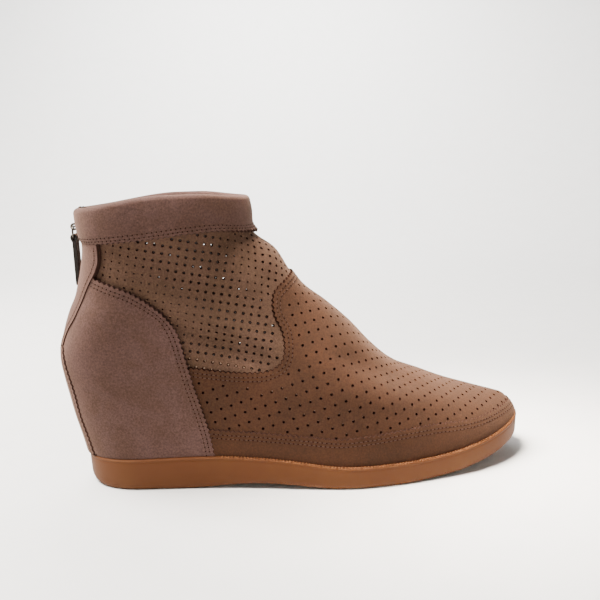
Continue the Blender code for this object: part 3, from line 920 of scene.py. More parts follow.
def thicken(thing: bpy.types.Object, way: tuple) -> None:
    """Stretch a flat mesh along a vector into a closed slab.

    Args:
        thing: the flat mesh.
        way: the vector.
    """
    with edit_mode(thing):
        bpy.ops.mesh.extrude_region_move(TRANSFORM_OT_translate={"value": way})
        bpy.ops.mesh.select_all(action='SELECT')
        bpy.ops.mesh.normals_make_consistent(inside=False)


def outline_prism(top: Array, foot: Array, low: float, high: float) -> bpy.types.Object:
    """A cutter with given outlines: a round face drawn to them, then stretched.

    Args:
        top: the outline at its upper end, n x 2.
        foot: the outline at its lower end, n x 2.
        low: height of the lower end.
        high: height of the upper end.

    Returns:
        The cutter.
    """
    count = len(top)
    cutter = add(bpy.ops.mesh.primitive_circle_add, vertices=count, radius=1, fill_type='NGON')
    move_points(cutter, np.column_stack([foot, np.full(count, low)]))
    thicken(cutter, (0, 0, high - low))
    points = coordinates(cutter)
    upper = points[:, 2] > (low + high) / 2
    order = np.array([np.argmin(np.hypot(*(foot - p[:2]).T)) for p in points[upper]])
    points[upper, :2] = top[order]
    move_points(cutter, points)
    return cutter


def from_arrays(name: str, points: Array, faces: list) -> bpy.types.Object:
    """An object from joined copies of a mesh.

    Args:
        name: the object's name.
        points: the mesh's points.
        faces: the points of each face.

    Returns:
        The object.
    """
    mesh = bpy.data.meshes.new(name)
    mesh.from_pydata(points.tolist(), [], faces)
    thing = bpy.data.objects.new(name, mesh)
    bpy.context.collection.objects.link(thing)
    return thing


def take(thing: bpy.types.Object) -> tuple:
    """Read a master's points and faces, then remove it.

    Args:
        thing: the master.

    Returns:
        Its points and faces.
    """
    points = coordinates(thing)
    faces = [tuple(p.vertices) for p in thing.data.polygons]
    bpy.data.objects.remove(thing, do_unlink=True)
    return points, faces


def scatter(name: str, master: tuple, places: Array, frames: Array) -> bpy.types.Object:
    """Copies of a small mesh at many places, as one mesh.

    Args:
        name: the joined object's name.
        master: the small mesh's points and faces.
        places: where each copy goes, n x 3.
        frames: three axes for each copy, n x 3 x 3, one axis a row.

    Returns:
        The joined object.
    """
    points, faces = master
    copies = places[:, None, :] + np.einsum("pk,nkj->npj", points, frames)
    size = len(points)
    joined = [tuple(size * n + i for i in face) for n in range(len(places)) for face in faces]
    return from_arrays(name, copies.reshape(-1, 3), joined)


def shade(thing: bpy.types.Object, degrees: float = 40.0) -> None:
    """Shade smooth, with sharp edges kept."""
    select(thing)
    bpy.ops.object.shade_smooth_by_angle(angle=math.radians(degrees))


def dress(thing: bpy.types.Object, materials: tuple, replaces: tuple = (),
          body: str = "boot") -> bpy.types.Object:
    """Give a piece its materials and tie it to the frame.

    Args:
        thing: the piece.
        materials: its materials, in the order of the faces' numbers.
        replaces: the frame's nodes that it stands for.
        body: the frame's body that it moves with.

    Returns:
        The piece.
    """
    # Clearing the list would reset the faces' numbers
    slots = thing.data.materials
    for index, material in enumerate(materials):
        if index < len(slots):
            slots[index] = material
        else:
            slots.append(material)
    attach(thing, body)
    if replaces:
        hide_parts(*replaces)
    LOG.info("%s: %d faces", thing.name, len(thing.data.polygons))
    return thing


# Finishes

@dataclass(frozen=True)
class Suede:
    """Brushed split leather: matt, with a soft nap that catches light in cloudy patches."""

    name: str
    colour: str
    deep: str
    pale: str
    cloud_mm: float = 11.0
    patch_mm: float = 38.0
    nap_mm: float = 1.0
    fleck: tuple = (0.63, 1.37)
    bump: float = 0.45
    bump_mm: float = 0.35
    roughness: float = 0.93
    shine: float = 0.18
    sheen: float = 0.14
    sheen_colour: str = "#E0B090"

    def build(self) -> bpy.types.Material:
        """Make the material.

        Returns:
            The material.
        """
        material = bpy.data.materials.new(self.name)
        material.use_nodes = True
        tree = material.node_tree
        place = node(tree, "ShaderNodeTexCoord", {}).outputs["Object"]
        # Strokes of the brush: broad soft patches that lie lighter or darker
        cloud = node(tree, "ShaderNodeTexNoise", {
            "Vector": place, "Scale": 1000 / self.cloud_mm, "Detail": 4.0, "Roughness": 0.55,
            "Distortion": 0.4})
        patch = node(tree, "ShaderNodeMapRange", {"Value": cloud.outputs[0], 1: 0.34, 2: 0.68},
                     interpolation_type='SMOOTHSTEP')
        wide = node(tree, "ShaderNodeTexNoise", {
            "Vector": place, "Scale": 1000 / self.patch_mm, "Detail": 2.0})
        bright = node(tree, "ShaderNodeMapRange", {"Value": wide.outputs[0], 1: 0.42, 2: 0.72})
        # Single fibre bundles of the nap, drawn a little coarser than real so that they show
        nap = node(tree, "ShaderNodeTexNoise", {
            "Vector": place, "Scale": 1000 / self.nap_mm, "Detail": 3.0, "Roughness": 0.7})
        fleck = node(tree, "ShaderNodeMapRange", {"Value": nap.outputs[0], 1: 0.3, 2: 0.7})
        base = node(tree, "ShaderNodeMix", {
            0: patch.outputs[0], 6: linear(self.deep), 7: linear(self.colour)}, data_type='RGBA')
        lit = node(tree, "ShaderNodeMix", {
            0: bright.outputs[0], 6: base.outputs[2], 7: linear(self.pale)}, data_type='RGBA')
        grain = node(tree, "ShaderNodeMapRange", {
            "Value": fleck.outputs[0], 3: self.fleck[0], 4: self.fleck[1]})
        tone = node(tree, "ShaderNodeMix", {0: 1.0, 6: lit.outputs[2], 7: grain.outputs[0]},
                    data_type='RGBA', blend_type='MULTIPLY')
        soft = node(tree, "ShaderNodeMath", {0: cloud.outputs[0], 1: 1.6}, operation='MULTIPLY')
        height = node(tree, "ShaderNodeMath", {0: nap.outputs[0], 1: soft.outputs[0]},
                      operation='ADD')
        bump = node(tree, "ShaderNodeBump", {
            "Strength": self.bump, "Distance": self.bump_mm * MM, "Height": height.outputs[0]})
        fill(tree, tree.nodes["Principled BSDF"], {
            "Base Color": tone.outputs[2], "Normal": bump.outputs[0],
            "Roughness": self.roughness, "Specular IOR Level": self.shine,
            "Sheen Weight": self.sheen, "Sheen Roughness": 0.5,
            "Sheen Tint": linear(self.sheen_colour)})
        return material


@dataclass(frozen=True)
class Plain:
    """A finish whose colour varies a little and whose surface has one grain."""

    name: str
    colour: str
    second: str
    grain_mm: float
    roughness: float
    bump: float = 0.1
    bump_mm: float = 0.1
    metallic: float = 0.0
    shine: float = 0.5
    stretch: tuple = (1.0, 1.0, 1.0)
    patch_mm: float = 24.0

    def build(self) -> bpy.types.Material:
        """Make the material.

        Returns:
            The material.
        """
        material = bpy.data.materials.new(self.name)
        material.use_nodes = True
        tree = material.node_tree
        place = node(tree, "ShaderNodeTexCoord", {}).outputs["Object"]
        turned = node(tree, "ShaderNodeMapping", {"Vector": place, "Scale": self.stretch})
        grain = node(tree, "ShaderNodeTexNoise", {
            "Vector": turned.outputs[0], "Scale": 1000 / self.grain_mm, "Detail": 3.0,
            "Roughness": 0.6})
        wide = node(tree, "ShaderNodeTexNoise", {
            "Vector": place, "Scale": 1000 / self.patch_mm, "Detail": 3.0})
        blend = node(tree, "ShaderNodeMapRange", {"Value": wide.outputs[0], 1: 0.35, 2: 0.65})
        tone = node(tree, "ShaderNodeMix", {
            0: blend.outputs[0], 6: linear(self.colour), 7: linear(self.second)},
            data_type='RGBA')
        bump = node(tree, "ShaderNodeBump", {
            "Strength": self.bump, "Distance": self.bump_mm * MM, "Height": grain.outputs[0]})
        rough = node(tree, "ShaderNodeMapRange", {
            "Value": grain.outputs[0], 1: 0.3, 2: 0.7, 3: self.roughness - 0.06,
            4: min(1.0, self.roughness + 0.06)})
        fill(tree, tree.nodes["Principled BSDF"], {
            "Base Color": tone.outputs[2], "Roughness": rough.outputs[0],
            "Normal": bump.outputs[0], "Metallic": self.metallic,
            "Specular IOR Level": self.shine})
        return material


@dataclass
class Finishes:
    """Every material of the boot."""

    # Split leather brushed to a nap: soft and cloudy, greyer at heel and collar
    vamp: Suede = Suede("brushed suede warm taupe", "#311B0C", "#2D190B", "#341D0E")
    quarter: Suede = Suede("brushed suede taupe", "#402D22", "#3D2B1F", "#463227")
    heel: Suede = Suede("brushed suede grey taupe", "#402D28", "#3C2922", "#45312D")
    # Raw fibres of the flesh side and of cut edges
    # Flesh side darkened past its own colour: painted shade for the inside seen through the holes
    flesh: Plain = Plain("suede flesh side with painted shade", "#170E08", "#120B07", 0.8, 0.95, 0.4, 0.3)
    # Cut edge dark partly from its raw fibres, partly as painted shadow beside each pinked edge
    edge: Plain = Plain("cut suede edge with painted shadow", "#2A1912", "#22130D", 0.4, 0.95, 0.3, 0.1, shine=0.1)
    # Moulded crude rubber: a warm amber with a dull satin face
    gum: Plain = Plain("gum rubber", "#4F2E14", "#4C2A12", 0.6, 0.62, 0.12, 0.08, shine=0.12)
    # Its ribs a shade paler: partly the rubber's own tone, partly painted highlight on the lit ribs
    lip: Plain = Plain("gum rubber lip with painted highlight", "#643D21", "#5C371D", 0.6, 0.6, 0.1, 0.05, shine=0.15)
    # Thread twisted from fine fibres
    thread: Plain = Plain("twisted polyester thread", "#36241B", "#312017", 0.3, 0.8, 0.5, 0.1,
                          shine=0.2)
    # Needle holes and punched hole walls: a dark finish, painted shade inside the holes
    needle: Plain = Plain("painted shade of a needle hole", "#1D100B", "#170C08", 0.5, 1.0, shine=0.0)
    # Woven tape and brushed nickel: a fine matt rib beside a dim, even gloss
    tape: Plain = Plain("woven zip tape", "#3A2821", "#30211B", 0.4, 0.85, 0.6, 0.15,
                        stretch=(1.0, 1.0, 3.0))
    nickel: Plain = Plain("brushed nickel", "#565048", "#4B443E", 0.25, 0.36, 0.08, 0.03,
                          metallic=1.0)
    # Inside: smooth undyed leather over a rough pressed board
    lining: Plain = Plain("insole leather", "#4F3827", "#453121", 0.7, 0.65, 0.3, 0.1)
    # The board is darkened as painted shade, for the inside seen through the holes
    board: Plain = Plain("wedge board in painted shade", "#33261A", "#2A1F15", 1.6, 0.9, 0.5, 0.4)

    def build(self) -> dict:
        """Make every material."""
        return {key: value.build() for key, value in vars(self).items()}


# Leather pieces

SLAB = 0.02        # thickness of the flat leather before it is lasted
BELOW = -0.05      # v at which an outline is closed, past the flat leather's lower edge


def closed(*runs: Array) -> Array:
    """Join runs of an outline. A run of plain places has the same edge on nap and flesh side."""
    runs = [np.asarray(run, float) for run in runs]
    return np.concatenate([run if run.ndim == 3 else np.stack([run, run], axis=1)
                           for run in runs])


@dataclass
class Leather:
    """One piece of leather: cut flat in the last's own (u, v), punched, and lasted.

    The outline's rows hold two places each: the edge on the nap side and on the flesh side.
    """

    last: Last
    name: str
    outline: Array
    inner: float
    outer: float
    cell: float = 2.0 * MM
    girth: float = 0.27
    holes: Array = None
    hole: Array = 0.8 * MM
    shut: float = 0.58
    warp: Callable = None

    def build(self) -> bpy.types.Object:
        """Cut, punch and last the piece.

        Returns:
            The piece, with its faces numbered.
        """
        top, foot = self.outline[:, 0], self.outline[:, 1]
        low = np.maximum(self.outline.min((0, 1)), (-9, 0.0))
        high = np.minimum(self.outline.max((0, 1)), (9, 1.0))
        size = high - low
        across = max(4, int(size[0] * self.girth / self.cell))
        up = max(3, int(size[1] * self.last.collar / self.cell))
        piece = sheet_grid(self.name, across, up)
        flat = coordinates(piece)
        move_points(piece, np.column_stack([low + flat[:, :2] * size, flat[:, 2]]))
        thicken(piece, (0, 0, SLAB))
        lean = foot - top
        carve(piece, outline_prism(top - lean, top + 2 * lean, -SLAB, 2 * SLAB), 'INTERSECT')
        if self.holes is not None and len(self.holes):
            carve(piece, self.punches(), 'DIFFERENCE')
        self.number_faces(piece)
        flat = coordinates(piece)
        if self.warp:
            points = self.warp(flat[:, 0], flat[:, 1], flat[:, 2] / SLAB)
        else:
            height = self.inner + (self.outer - self.inner) * flat[:, 2] / SLAB
            points = self.last.place(flat[:, 0], flat[:, 1], height)
        move_points(piece, points)
        shade(piece)
        return piece

    def number_faces(self, piece: bpy.types.Object) -> None:
        """Turn all faces outwards, and number nap side 0, flesh side 1 and cut edges 2.

        Args:
            piece: the piece, still flat.
        """
        normals = np.empty(3 * len(piece.data.polygons), np.float32)
        centres = np.empty_like(normals)
        piece.data.polygons.foreach_get("normal", normals)
        piece.data.polygons.foreach_get("center", centres)
        height = centres[2::3] / SLAB
        if normals[2::3][height > 0.99].sum() < 0:
            piece.data.flip_normals()
        number = np.where(height > 0.99, 0, np.where(height < 0.01, 1, 2)).astype(np.int32)
        piece.data.polygons.foreach_set("material_index", number)

    def punches(self) -> bpy.types.Object:
        """All hole punches as one cutter, each round on the boot itself.

        They taper, because the fibres of the flesh side close up a little behind a punch.

        Returns:
            The cutter.
        """
        punch = take(add(bpy.ops.mesh.primitive_cone_add, vertices=12, depth=2,
                         radius1=2 * self.shut - 1, radius2=2 - self.shut))
        u, v = self.holes[:, 0], self.holes[:, 1]
        by_u, by_v = self.last.jacobian(u, v)
        along = unit(by_u)
        upward = unit(np.cross(np.cross(by_u, by_v), along))
        places = []
        radius = np.broadcast_to(self.hole, u.shape)[:, None]
        for axis in (along, upward):
            moved = self.last.shift(u, v, axis * radius)
            places.append(np.stack([moved[0] - u, moved[1] - v, np.zeros_like(u)], axis=1))
        places.append(np.tile([0, 0, 1.5 * SLAB], (len(u), 1)))
        frames = np.stack(places, axis=1)
        centres = np.stack([u, v, np.full_like(u, SLAB / 2)], axis=1)
        return scatter("punches", punch, centres, frames)


def inside(points: Array, outline: Array) -> Array:
    """Which points lie inside a closed outline.

    Args:
        points: the points, n x 2.
        outline: the outline's points, m x 2.

    Returns:
        One truth value for each point.
    """
    x, y = points[:, 0][:, None], points[:, 1][:, None]
    a, b = outline, np.roll(outline, -1, axis=0)
    straddles = (a[:, 1] > y) != (b[:, 1] > y)
    with np.errstate(divide="ignore", invalid="ignore"):
        cross = a[:, 0] + (y - a[:, 1]) / (b[:, 1] - a[:, 1]) * (b[:, 0] - a[:, 0])
    return (straddles & (x < cross)).sum(axis=1) % 2 == 1


@dataclass
class Punching:
    """A square pattern of holes, laid out on the leather while it is flat.

    The patch of the last is flattened as a pattern cutter flattens it, the rows are drawn on the
    flat patch, and each hole is carried back to its place on the last.
    """

    last: Last
    region: Array
    pitch: float
    tilt: float
    seen_at: tuple
    margin: float = 0.0
    plain_edge: Array = None

    def build(self) -> Array:
        """Work out the holes.

        Returns:
            Their places (u, v).
        """
        patch, table = self.patch()
        flat, faces = self.flatten(patch, table)
        bpy.data.objects.remove(patch, do_unlink=True)
        row, column, origin = self.axes(flat, table)
        reach = int(0.35 / self.pitch)
        a, b = np.meshgrid(np.arange(-reach, reach), np.arange(-reach, reach))
        wanted = origin + self.pitch * (a.reshape(-1, 1) * row + b.reshape(-1, 1) * column)
        tree = BVHTree.FromPolygons([(x, y, 0) for x, y in flat], faces)
        holes = []
        for x, y in wanted:
            _, _, index, far = tree.find_nearest((x, y, 0))
            if index is None or far > 0.05 * MM:
                continue
            p, q, r = (flat[k] for k in faces[index])
            edges = np.stack([q - p, r - p], axis=1)
            s, t = np.linalg.solve(edges, np.array([x, y]) - p)
            place = (1 - s - t, s, t)
            holes.append(sum(w * table[k] for w, k in zip(place, faces[index])))
        holes = np.array(holes)
        holes = holes[inside(holes, self.region)]
        if self.plain_edge is None:
            return holes
        rim = self.last.place(self.plain_edge[:, 0], self.plain_edge[:, 1])
        spot = self.last.place(holes[:, 0], holes[:, 1])
        near = np.array([np.linalg.norm(rim - p, axis=1).min() for p in spot])
        return holes[near > self.margin]

    def patch(self) -> tuple:
        """The part of the last under the region, and each point's place on it.

        Returns:
            The patch, and the place (u, v) of each of its points.
        """
        low, high = self.region.min(0) - 0.012, self.region.max(0) + 0.012
        low[1], high[1] = max(low[1], 0.0), min(high[1], 1.0)
        across, up = int((high[0] - low[0]) * 90), int((high[1] - low[1]) * 60)
        patch = sheet_grid("flat patch", across, up)
        table = low + coordinates(patch)[:, :2] * (high - low)
        move_points(patch, self.last.place(table[:, 0], table[:, 1]))
        centre = 0.5 * (self.region.min(0) + self.region.max(0))
        wide = centre + (self.region - centre) * (1.03, 1.06)
        keep = inside(table, wide)
        mesh = bmesh.new()
        mesh.from_mesh(patch.data)
        mesh.verts.ensure_lookup_table()
        drop = [v for v in mesh.verts if not keep[v.index]]
        bmesh.ops.delete(mesh, geom=drop, context='VERTS')
        bmesh.ops.triangulate(mesh, faces=mesh.faces)
        mesh.to_mesh(patch.data)
        mesh.free()
        return patch, table[keep]

    @staticmethod
    def flatten(patch: bpy.types.Object, table: Array) -> tuple:
        """Unwrap the patch at its real size.

        Args:
            patch: the patch of the last.
            table: the place (u, v) of each of its points.

        Returns:
            The flat points, and the faces.
        """
        with edit_mode(patch):
            bpy.ops.uv.unwrap(method='ANGLE_BASED', margin=0)
        faces = [tuple(p.vertices) for p in patch.data.polygons]
        flat = np.zeros((len(table), 2))
        layer = patch.data.uv_layers.active.data
        for loop in patch.data.loops:
            flat[loop.vertex_index] = layer[loop.index].uv
        solid = coordinates(patch)
        corner = np.array(faces)
        first, second = (solid[corner[:, k]] - solid[corner[:, 0]] for k in (1, 2))
        real = np.linalg.norm(np.cross(first, second), axis=1).sum()
        one, two = (flat[corner[:, k]] - flat[corner[:, 0]] for k in (1, 2))
        drawn = np.abs(one[:, 0] * two[:, 1] - one[:, 1] * two[:, 0]).sum()
        return flat * math.sqrt(real / drawn), faces

    def axes(self, flat: Array, table: Array) -> tuple:
        """Directions of rows and columns on the flat patch, and where one hole lies.

        Args:
            flat: the flat patch's points.
            table: the place (u, v) of each point.

        Returns:
            The row's and the column's unit vector, and the hole's place on the flat patch.
        """
        spot = self.last.place(table[:, 0], table[:, 1])
        side = spot[:, 1] < 0
        away = np.hypot(spot[:, 0] - self.seen_at[0], spot[:, 2] - self.seen_at[1])
        near = np.argsort(np.where(side, away, 9.0))[:40]
        known = np.column_stack([spot[near][:, [0, 2]], np.ones(len(near))])
        fit = np.linalg.lstsq(known, flat[near], rcond=None)[0]
        angle = math.radians(self.tilt)
        row = np.array([math.cos(angle), math.sin(angle)]) @ fit[:2]
        row /= np.linalg.norm(row)
        column = np.array([-row[1], row[0]])
        return row, column, np.array([*self.seen_at, 1.0]) @ fit


# Seams

@dataclass
class Thread:
    """Rows of stitches beside a seam: short sunk threads between needle holes of painted shade."""

    pattern: Pattern
    look: dict
    pitch: float = 2.5 * MM
    length: float = 0.85 * MM
    thick: float = 0.20 * MM
    needle: float = 0.41 * MM
    lifted: float = 0.05 * MM

    def master(self) -> tuple:
        """One short thread, rounded at its ends.

        Returns:
            Its points and faces.
        """
        thread = add(bpy.ops.mesh.primitive_uv_sphere_add, segments=6, ring_count=4, radius=1)
        with edit_mode(thread):
            bpy.ops.transform.rotate(value=math.pi / 2, orient_axis='Y',
                                     center_override=(0, 0, 0))
            bpy.ops.transform.resize(value=(self.length, self.thick, self.thick))
        return take(thread)

    def shade_dot(self) -> tuple:
        """One needle hole: a flat dark disc of painted shade."""
        return take(add(bpy.ops.mesh.primitive_circle_add, vertices=8, radius=self.needle,
                        fill_type='NGON'))

    def sew(self, name: str, rows: list, slot: str, body: str = "boot") -> None:
        """Sew rows of stitches and dress them.

        Args:
            name: the piece's name.
            rows: for each row, its path on the leather and the leather's normals there.
            slot: the record's material slot; not used.
            body: the frame's body that they move with.
        """
        spots, frames = [], []
        for path, normal in rows:
            length = lengths(path)
            wanted = np.arange(self.pitch, length[-1] - self.pitch / 2, self.pitch / 2)
            at = read(path, length, wanted)
            up = unit(read(normal, length, wanted))
            run = unit(np.gradient(at, axis=0))
            run = unit(run - up * (run * up).sum(1, keepdims=True))
            spots.append(at)
            frames.append(np.stack([run, np.cross(up, run), up], axis=1))
        # Threads and needle holes take turns along a row; the holes are dark discs of painted shade
        threads = scatter(name, self.master(), np.concatenate([s[::2] for s in spots]),
                          np.concatenate([f[::2] for f in frames]))
        lifted = [s[1::2] + f[1::2, 2] * self.lifted for s, f in zip(spots, frames)]
        holes = scatter(name + "_holes", self.shade_dot(), np.concatenate(lifted),
                        np.concatenate([f[1::2] for f in frames]))
        join(threads, holes)
        # A join loses the faces' numbers where the slots are empty, so they are set after it
        corners = np.empty(len(threads.data.polygons), np.int32)
        threads.data.polygons.foreach_get("loop_total", corners)
        threads.data.polygons.foreach_set("material_index", (corners > 4).astype(np.int32))
        shade(threads)
        dress(threads, (self.look["thread"], self.look["needle"]), (), body)

    def row(self, uv: Array, height: float) -> tuple:
        """A row of stitches along a line, on leather of a given height."""
        last = self.pattern.last
        return last.place(uv[:, 0], uv[:, 1], height), last.outward(uv[:, 0], uv[:, 1])

    def beside(self, uv: Array, distances: tuple, height: float) -> list:
        """Rows at some distances to the left of a seam, on leather of a given height."""
        return [self.row(self.pattern.beside(uv, distance), height) for distance in distances]


# The upper

@dataclass
class Upper:
    """The perforated quarters and the pieces sewn over them."""

    pattern: Pattern
    look: dict
    wall: float = 1.4 * MM
    lift: float = 0.1 * MM
    vamp_top: float = 1.3 * MM
    foxing_lift: float = 1.35 * MM
    foxing_top: float = 1.95 * MM
    heel_top: float = 2.3 * MM
    stay_lift: float = 2.25 * MM
    stay_top: float = 2.9 * MM
    tuck: float = 4.0 * MM
    skirt: float = 0.45 * MM
    zip_skirt: float = 0.2 * MM
    stay_skirt: float = 0.9 * MM
    rows: tuple = (2.2 * MM, 4.3 * MM)
    quarter_pitch: float = 4.3 * MM
    quarter_hole: float = 0.85 * MM
    quarter_tilt: float = -11.5
    vamp_pitch: float = 5.75 * MM
    vamp_hole: float = 0.78 * MM
    vamp_tilt: float = 19.0
    vamp_margin: float = 6.4 * MM
    quarter_seen: tuple = (0.030, 0.105)
    vamp_seen: tuple = (0.055, 0.048)
    foxing_end: tuple = (0.0345, 0.036)
    cuff_ends: tuple = (0.03, 1.97)
    slot_top: float = 0.1600
    crown: float = 0.974
    back_seam: float = 0.0004
    tack_span: tuple = (0.0782, 0.0836)
    tack_step: float = 1.1 * MM
    tack_half: float = 0.045

    def build(self) -> None:
        """Build every leather piece of the upper and its stitching."""
        self.last = self.pattern.last
        self.thread = Thread(self.pattern, self.look)
        self.draw_seams()
        vamp_holes = self.quarters()
        self.vamp(vamp_holes)
        self.foxing()
        for side in Side:
            self.heel_panel(side)
            self.stay(side)
        self.lower_stay()

    def draw_seams(self) -> None:
        """Work out the seams, each running towards the toe or up to the collar and back."""
        cut = self.pattern
        self.vamp_line = cut.vamp_seam()
        x, z = self.foxing_end
        ends = [self.last.locate([x], [z], side)[0, 0] for side in Side]
        self.foxing_line = cut.level(cut.foxing, ends)
        self.foxing_low = cut.level(cut.foxing, ends, self.tuck)
        self.heel_line = {side: cut.steep(cut.heel, side) for side in Side}
        self.stay_line = {side: cut.steep(cut.stay, side) for side in Side}

    def finish(self, piece: bpy.types.Object, face: str, slot: str, nodes: tuple,
               cut: str = "edge") -> None:
        """Dress a leather piece: nap side, flesh side and cut edge or hole wall."""
        dress(piece, (self.look[face], self.look["flesh"], self.look[cut]), nodes)

    def quarters(self) -> Array:
        """The hollow upper with its slot for the zip, punched under quarter and vamp.

        Returns:
            The vamp's holes.
        """
        cut, seam = self.pattern, self.back_seam
        outer_slot, inner_slot = (cut.zip_edge(cut.zip_half, side, cut.zip_foot, self.slot_top)
                                  for side in Side)
        outline = closed([(seam, BELOW), (2 - seam, BELOW), (2 - seam, inner_slot[0, 1])],
                         inner_slot, [(inner_slot[-1, 0], self.crown)],
                         [(outer_slot[-1, 0], self.crown)], outer_slot[::-1],
                         [(seam, outer_slot[0, 1])])
        cuff = cut.level(cut.cuff, self.cuff_ends)
        # The heel panels' edges, above and below the ends of the vamp's seam
        heels = [(self.heel_line[side], self.vamp_line[end, 1]) for side, end in zip(Side, (0, -1))]
        outer, inner = (line[line[:, 1] > end] for line, end in heels)
        low_outer, low_inner = (line[line[:, 1] < end] for line, end in heels)
        region = np.vstack([self.vamp_line, inner[::-1], cuff[::-1], outer])
        holes = Punching(self.last, region, self.quarter_pitch, self.quarter_tilt,
                         self.quarter_seen).build()
        region = np.vstack([self.vamp_line, low_inner, self.foxing_line[::-1], low_outer[::-1]])
        vamp_holes = Punching(self.last, region, self.vamp_pitch, self.vamp_tilt,
                              self.vamp_seen, self.vamp_margin, self.vamp_line).build()
        LOG.info("holes: %d in the quarters, %d in the vamp", len(holes), len(vamp_holes))
        spots = self.last.place(holes[:, 0], holes[:, 1])
        open_share = np.ones(len(holes))
        for path, width, loss in SHUT:
            open_share -= loss * np.exp(-(side_distance(spots, path)[0] / width) ** 2)
        size = self.quarter_hole * np.concatenate([open_share, np.ones(len(vamp_holes))])
        piece = Leather(self.last, "upper_quarters", outline, -self.wall, 0.0,
                        holes=np.vstack([holes, vamp_holes]), hole=size).build()
        # The hole walls take the needle finish: painted shade inside the punched holes
        self.finish(piece, "quarter", "quarter_suede", ("upper",), "needle")
        return vamp_holes

    def vamp(self, holes: Array) -> None:
        """The perforated vamp, with its pinked edge over the quarters.

        Args:
            holes: places (u, v) of its holes.
        """
        edge = self.pattern.pinked(self.vamp_line, self.skirt)
        outline = closed(edge, self.foxing_low[::-1])
        piece = Leather(self.last, "vamp_leather", outline, self.lift, self.vamp_top,
                        holes=holes, hole=self.vamp_hole).build()
        # The hole walls take the needle finish: painted shade inside the punched holes
        self.finish(piece, "vamp", "vamp_suede", ("vamp",), "needle")
        rows = self.thread.beside(self.vamp_line, tuple(-d for d in self.rows), self.vamp_top)
        self.thread.sew("vamp_stitches", rows, "vamp_suede")

    def foxing(self) -> None:
        """The band round the foot, just above the sole."""
        edge = self.pattern.pinked(self.foxing_line, self.skirt)
        ends = [(edge[-1, 0, 0], BELOW), (edge[0, 0, 0], BELOW)]
        piece = Leather(self.last, "foxing_leather", closed(edge, ends), self.foxing_lift,
                        self.foxing_top).build()
        self.finish(piece, "vamp", "vamp_suede", ("foxing",))
        rows = self.thread.beside(self.foxing_line, tuple(-d for d in self.rows),
                                  self.foxing_top)
        self.thread.sew("foxing_stitches", rows, "vamp_suede")

    def heel_panel(self, side: Side) -> None:
        """A heel panel, tucked under the back stays.

        A piece behind a falling seam lies to the seam's right on the outer side, and else to its
        left, so that the side's value gives the way.

        Args:
            side: the side of the foot.
        """
        word = side.name.lower()
        line = self.heel_line[side]
        edge = self.pattern.pinked(line, -side.value * self.skirt)
        rear = self.pattern.steep(self.pattern.stay, side, slice(3, None))
        rear = self.pattern.beside(rear, side.value * self.tuck)
        foot = [(line[-1, 0], BELOW), (rear[-1, 0], BELOW)]
        outline = closed(edge, foot, rear[::-1])
        piece = Leather(self.last, f"heel_leather_{word}", outline, self.lift,
                        self.heel_top).build()
        self.finish(piece, "heel", "heel_suede", (f"heel_panel_{word}",))
        rows = self.thread.beside(line[4:], tuple(side.value * d for d in self.rows),
                                  self.heel_top)
        self.thread.sew(f"heel_stitches_{word}", rows, "heel_suede")

    def stay_parts(self, side: Side) -> tuple:
        """The stay's edge above and below the bar tack.

        Args:
            side: the side of the foot.

        Returns:
            Places (u, v) of the two parts, each from its top.
        """
        line = self.stay_line[side]
        height = self.last.place(line[:, 0], line[:, 1])[:, 2]
        split = self.pattern.split * self.last.collar
        cuff = self.pattern.height_at(self.pattern.cuff)(self.pattern.side_view(
            self.pattern.stay)[0, 0]) + 0.6 * MM
        return line[(height > split) & (height < cuff)], line[height <= split]

    def stay(self, side: Side) -> None:
        """The stay beside the zip.

        Args:
            side: the side of the foot.
        """
        word = side.name.lower()
        upper_part, _ = self.stay_parts(side)
        edge = self.pattern.pinked(upper_part, -side.value * self.zip_skirt, teeth=False)
        points = self.last.place(upper_part[:, 0], upper_part[:, 1])
        slot = self.pattern.zip_edge(self.pattern.zip_half, side, points[-1, 2], points[0, 2])
        piece = Leather(self.last, f"stay_leather_{word}", closed(edge, slot), self.lift,
                        self.stay_top, cell=1.6 * MM).build()
        self.finish(piece, "heel", "heel_suede", (f"back_stay_{word}",))
        rows = self.thread.beside(upper_part, tuple(side.value * d for d in self.rows[:1]),
                                  self.stay_top)
        self.thread.sew(f"stay_stitches_{word}", rows, "heel_suede")

    def lower_stay(self) -> None:
        """The stay that wraps the back of the heel under the zip."""
        outer = self.stay_parts(Side.OUTER)[1]
        inner = self.stay_parts(Side.INNER)[1] - (2.0, 0.0)
        edges = [self.pattern.pinked(outer, self.stay_skirt),
                 self.pattern.pinked(inner, -self.stay_skirt)[::-1]]
        foot = [(outer[-1, 0], BELOW), (inner[-1, 0], BELOW)]
        outline = closed(edges[0], foot, edges[1])
        piece = Leather(self.last, "stay_leather_lower", outline, self.stay_lift,
                        self.stay_top, cell=1.6 * MM).build()
        self.finish(piece, "heel", "heel_suede", ("back_stay_lower",))
        rows = [row for side, line in ((Side.OUTER, outer), (Side.INNER, inner))
                for row in self.thread.beside(
                    line, (side.value * self.rows[0],), self.stay_top)]
        self.thread.sew("stay_stitches_lower", rows, "heel_suede")
        # The bar tack that closes the stays under the zip
        rows = []
        across = np.linspace(-self.tack_half, self.tack_half, 60)
        for height in np.arange(*self.tack_span, self.tack_step):
            uv = self.last.level_line(lambda x, z=height: z + 0 * x, across)
            rows.append(self.thread.row(uv, self.stay_top))
        Thread(self.pattern, self.look, pitch=1.9 * MM, length=0.8 * MM, thick=0.34 * MM,
               needle=0.25 * MM).sew("bar_tack", rows, "heel_suede")


# The collar

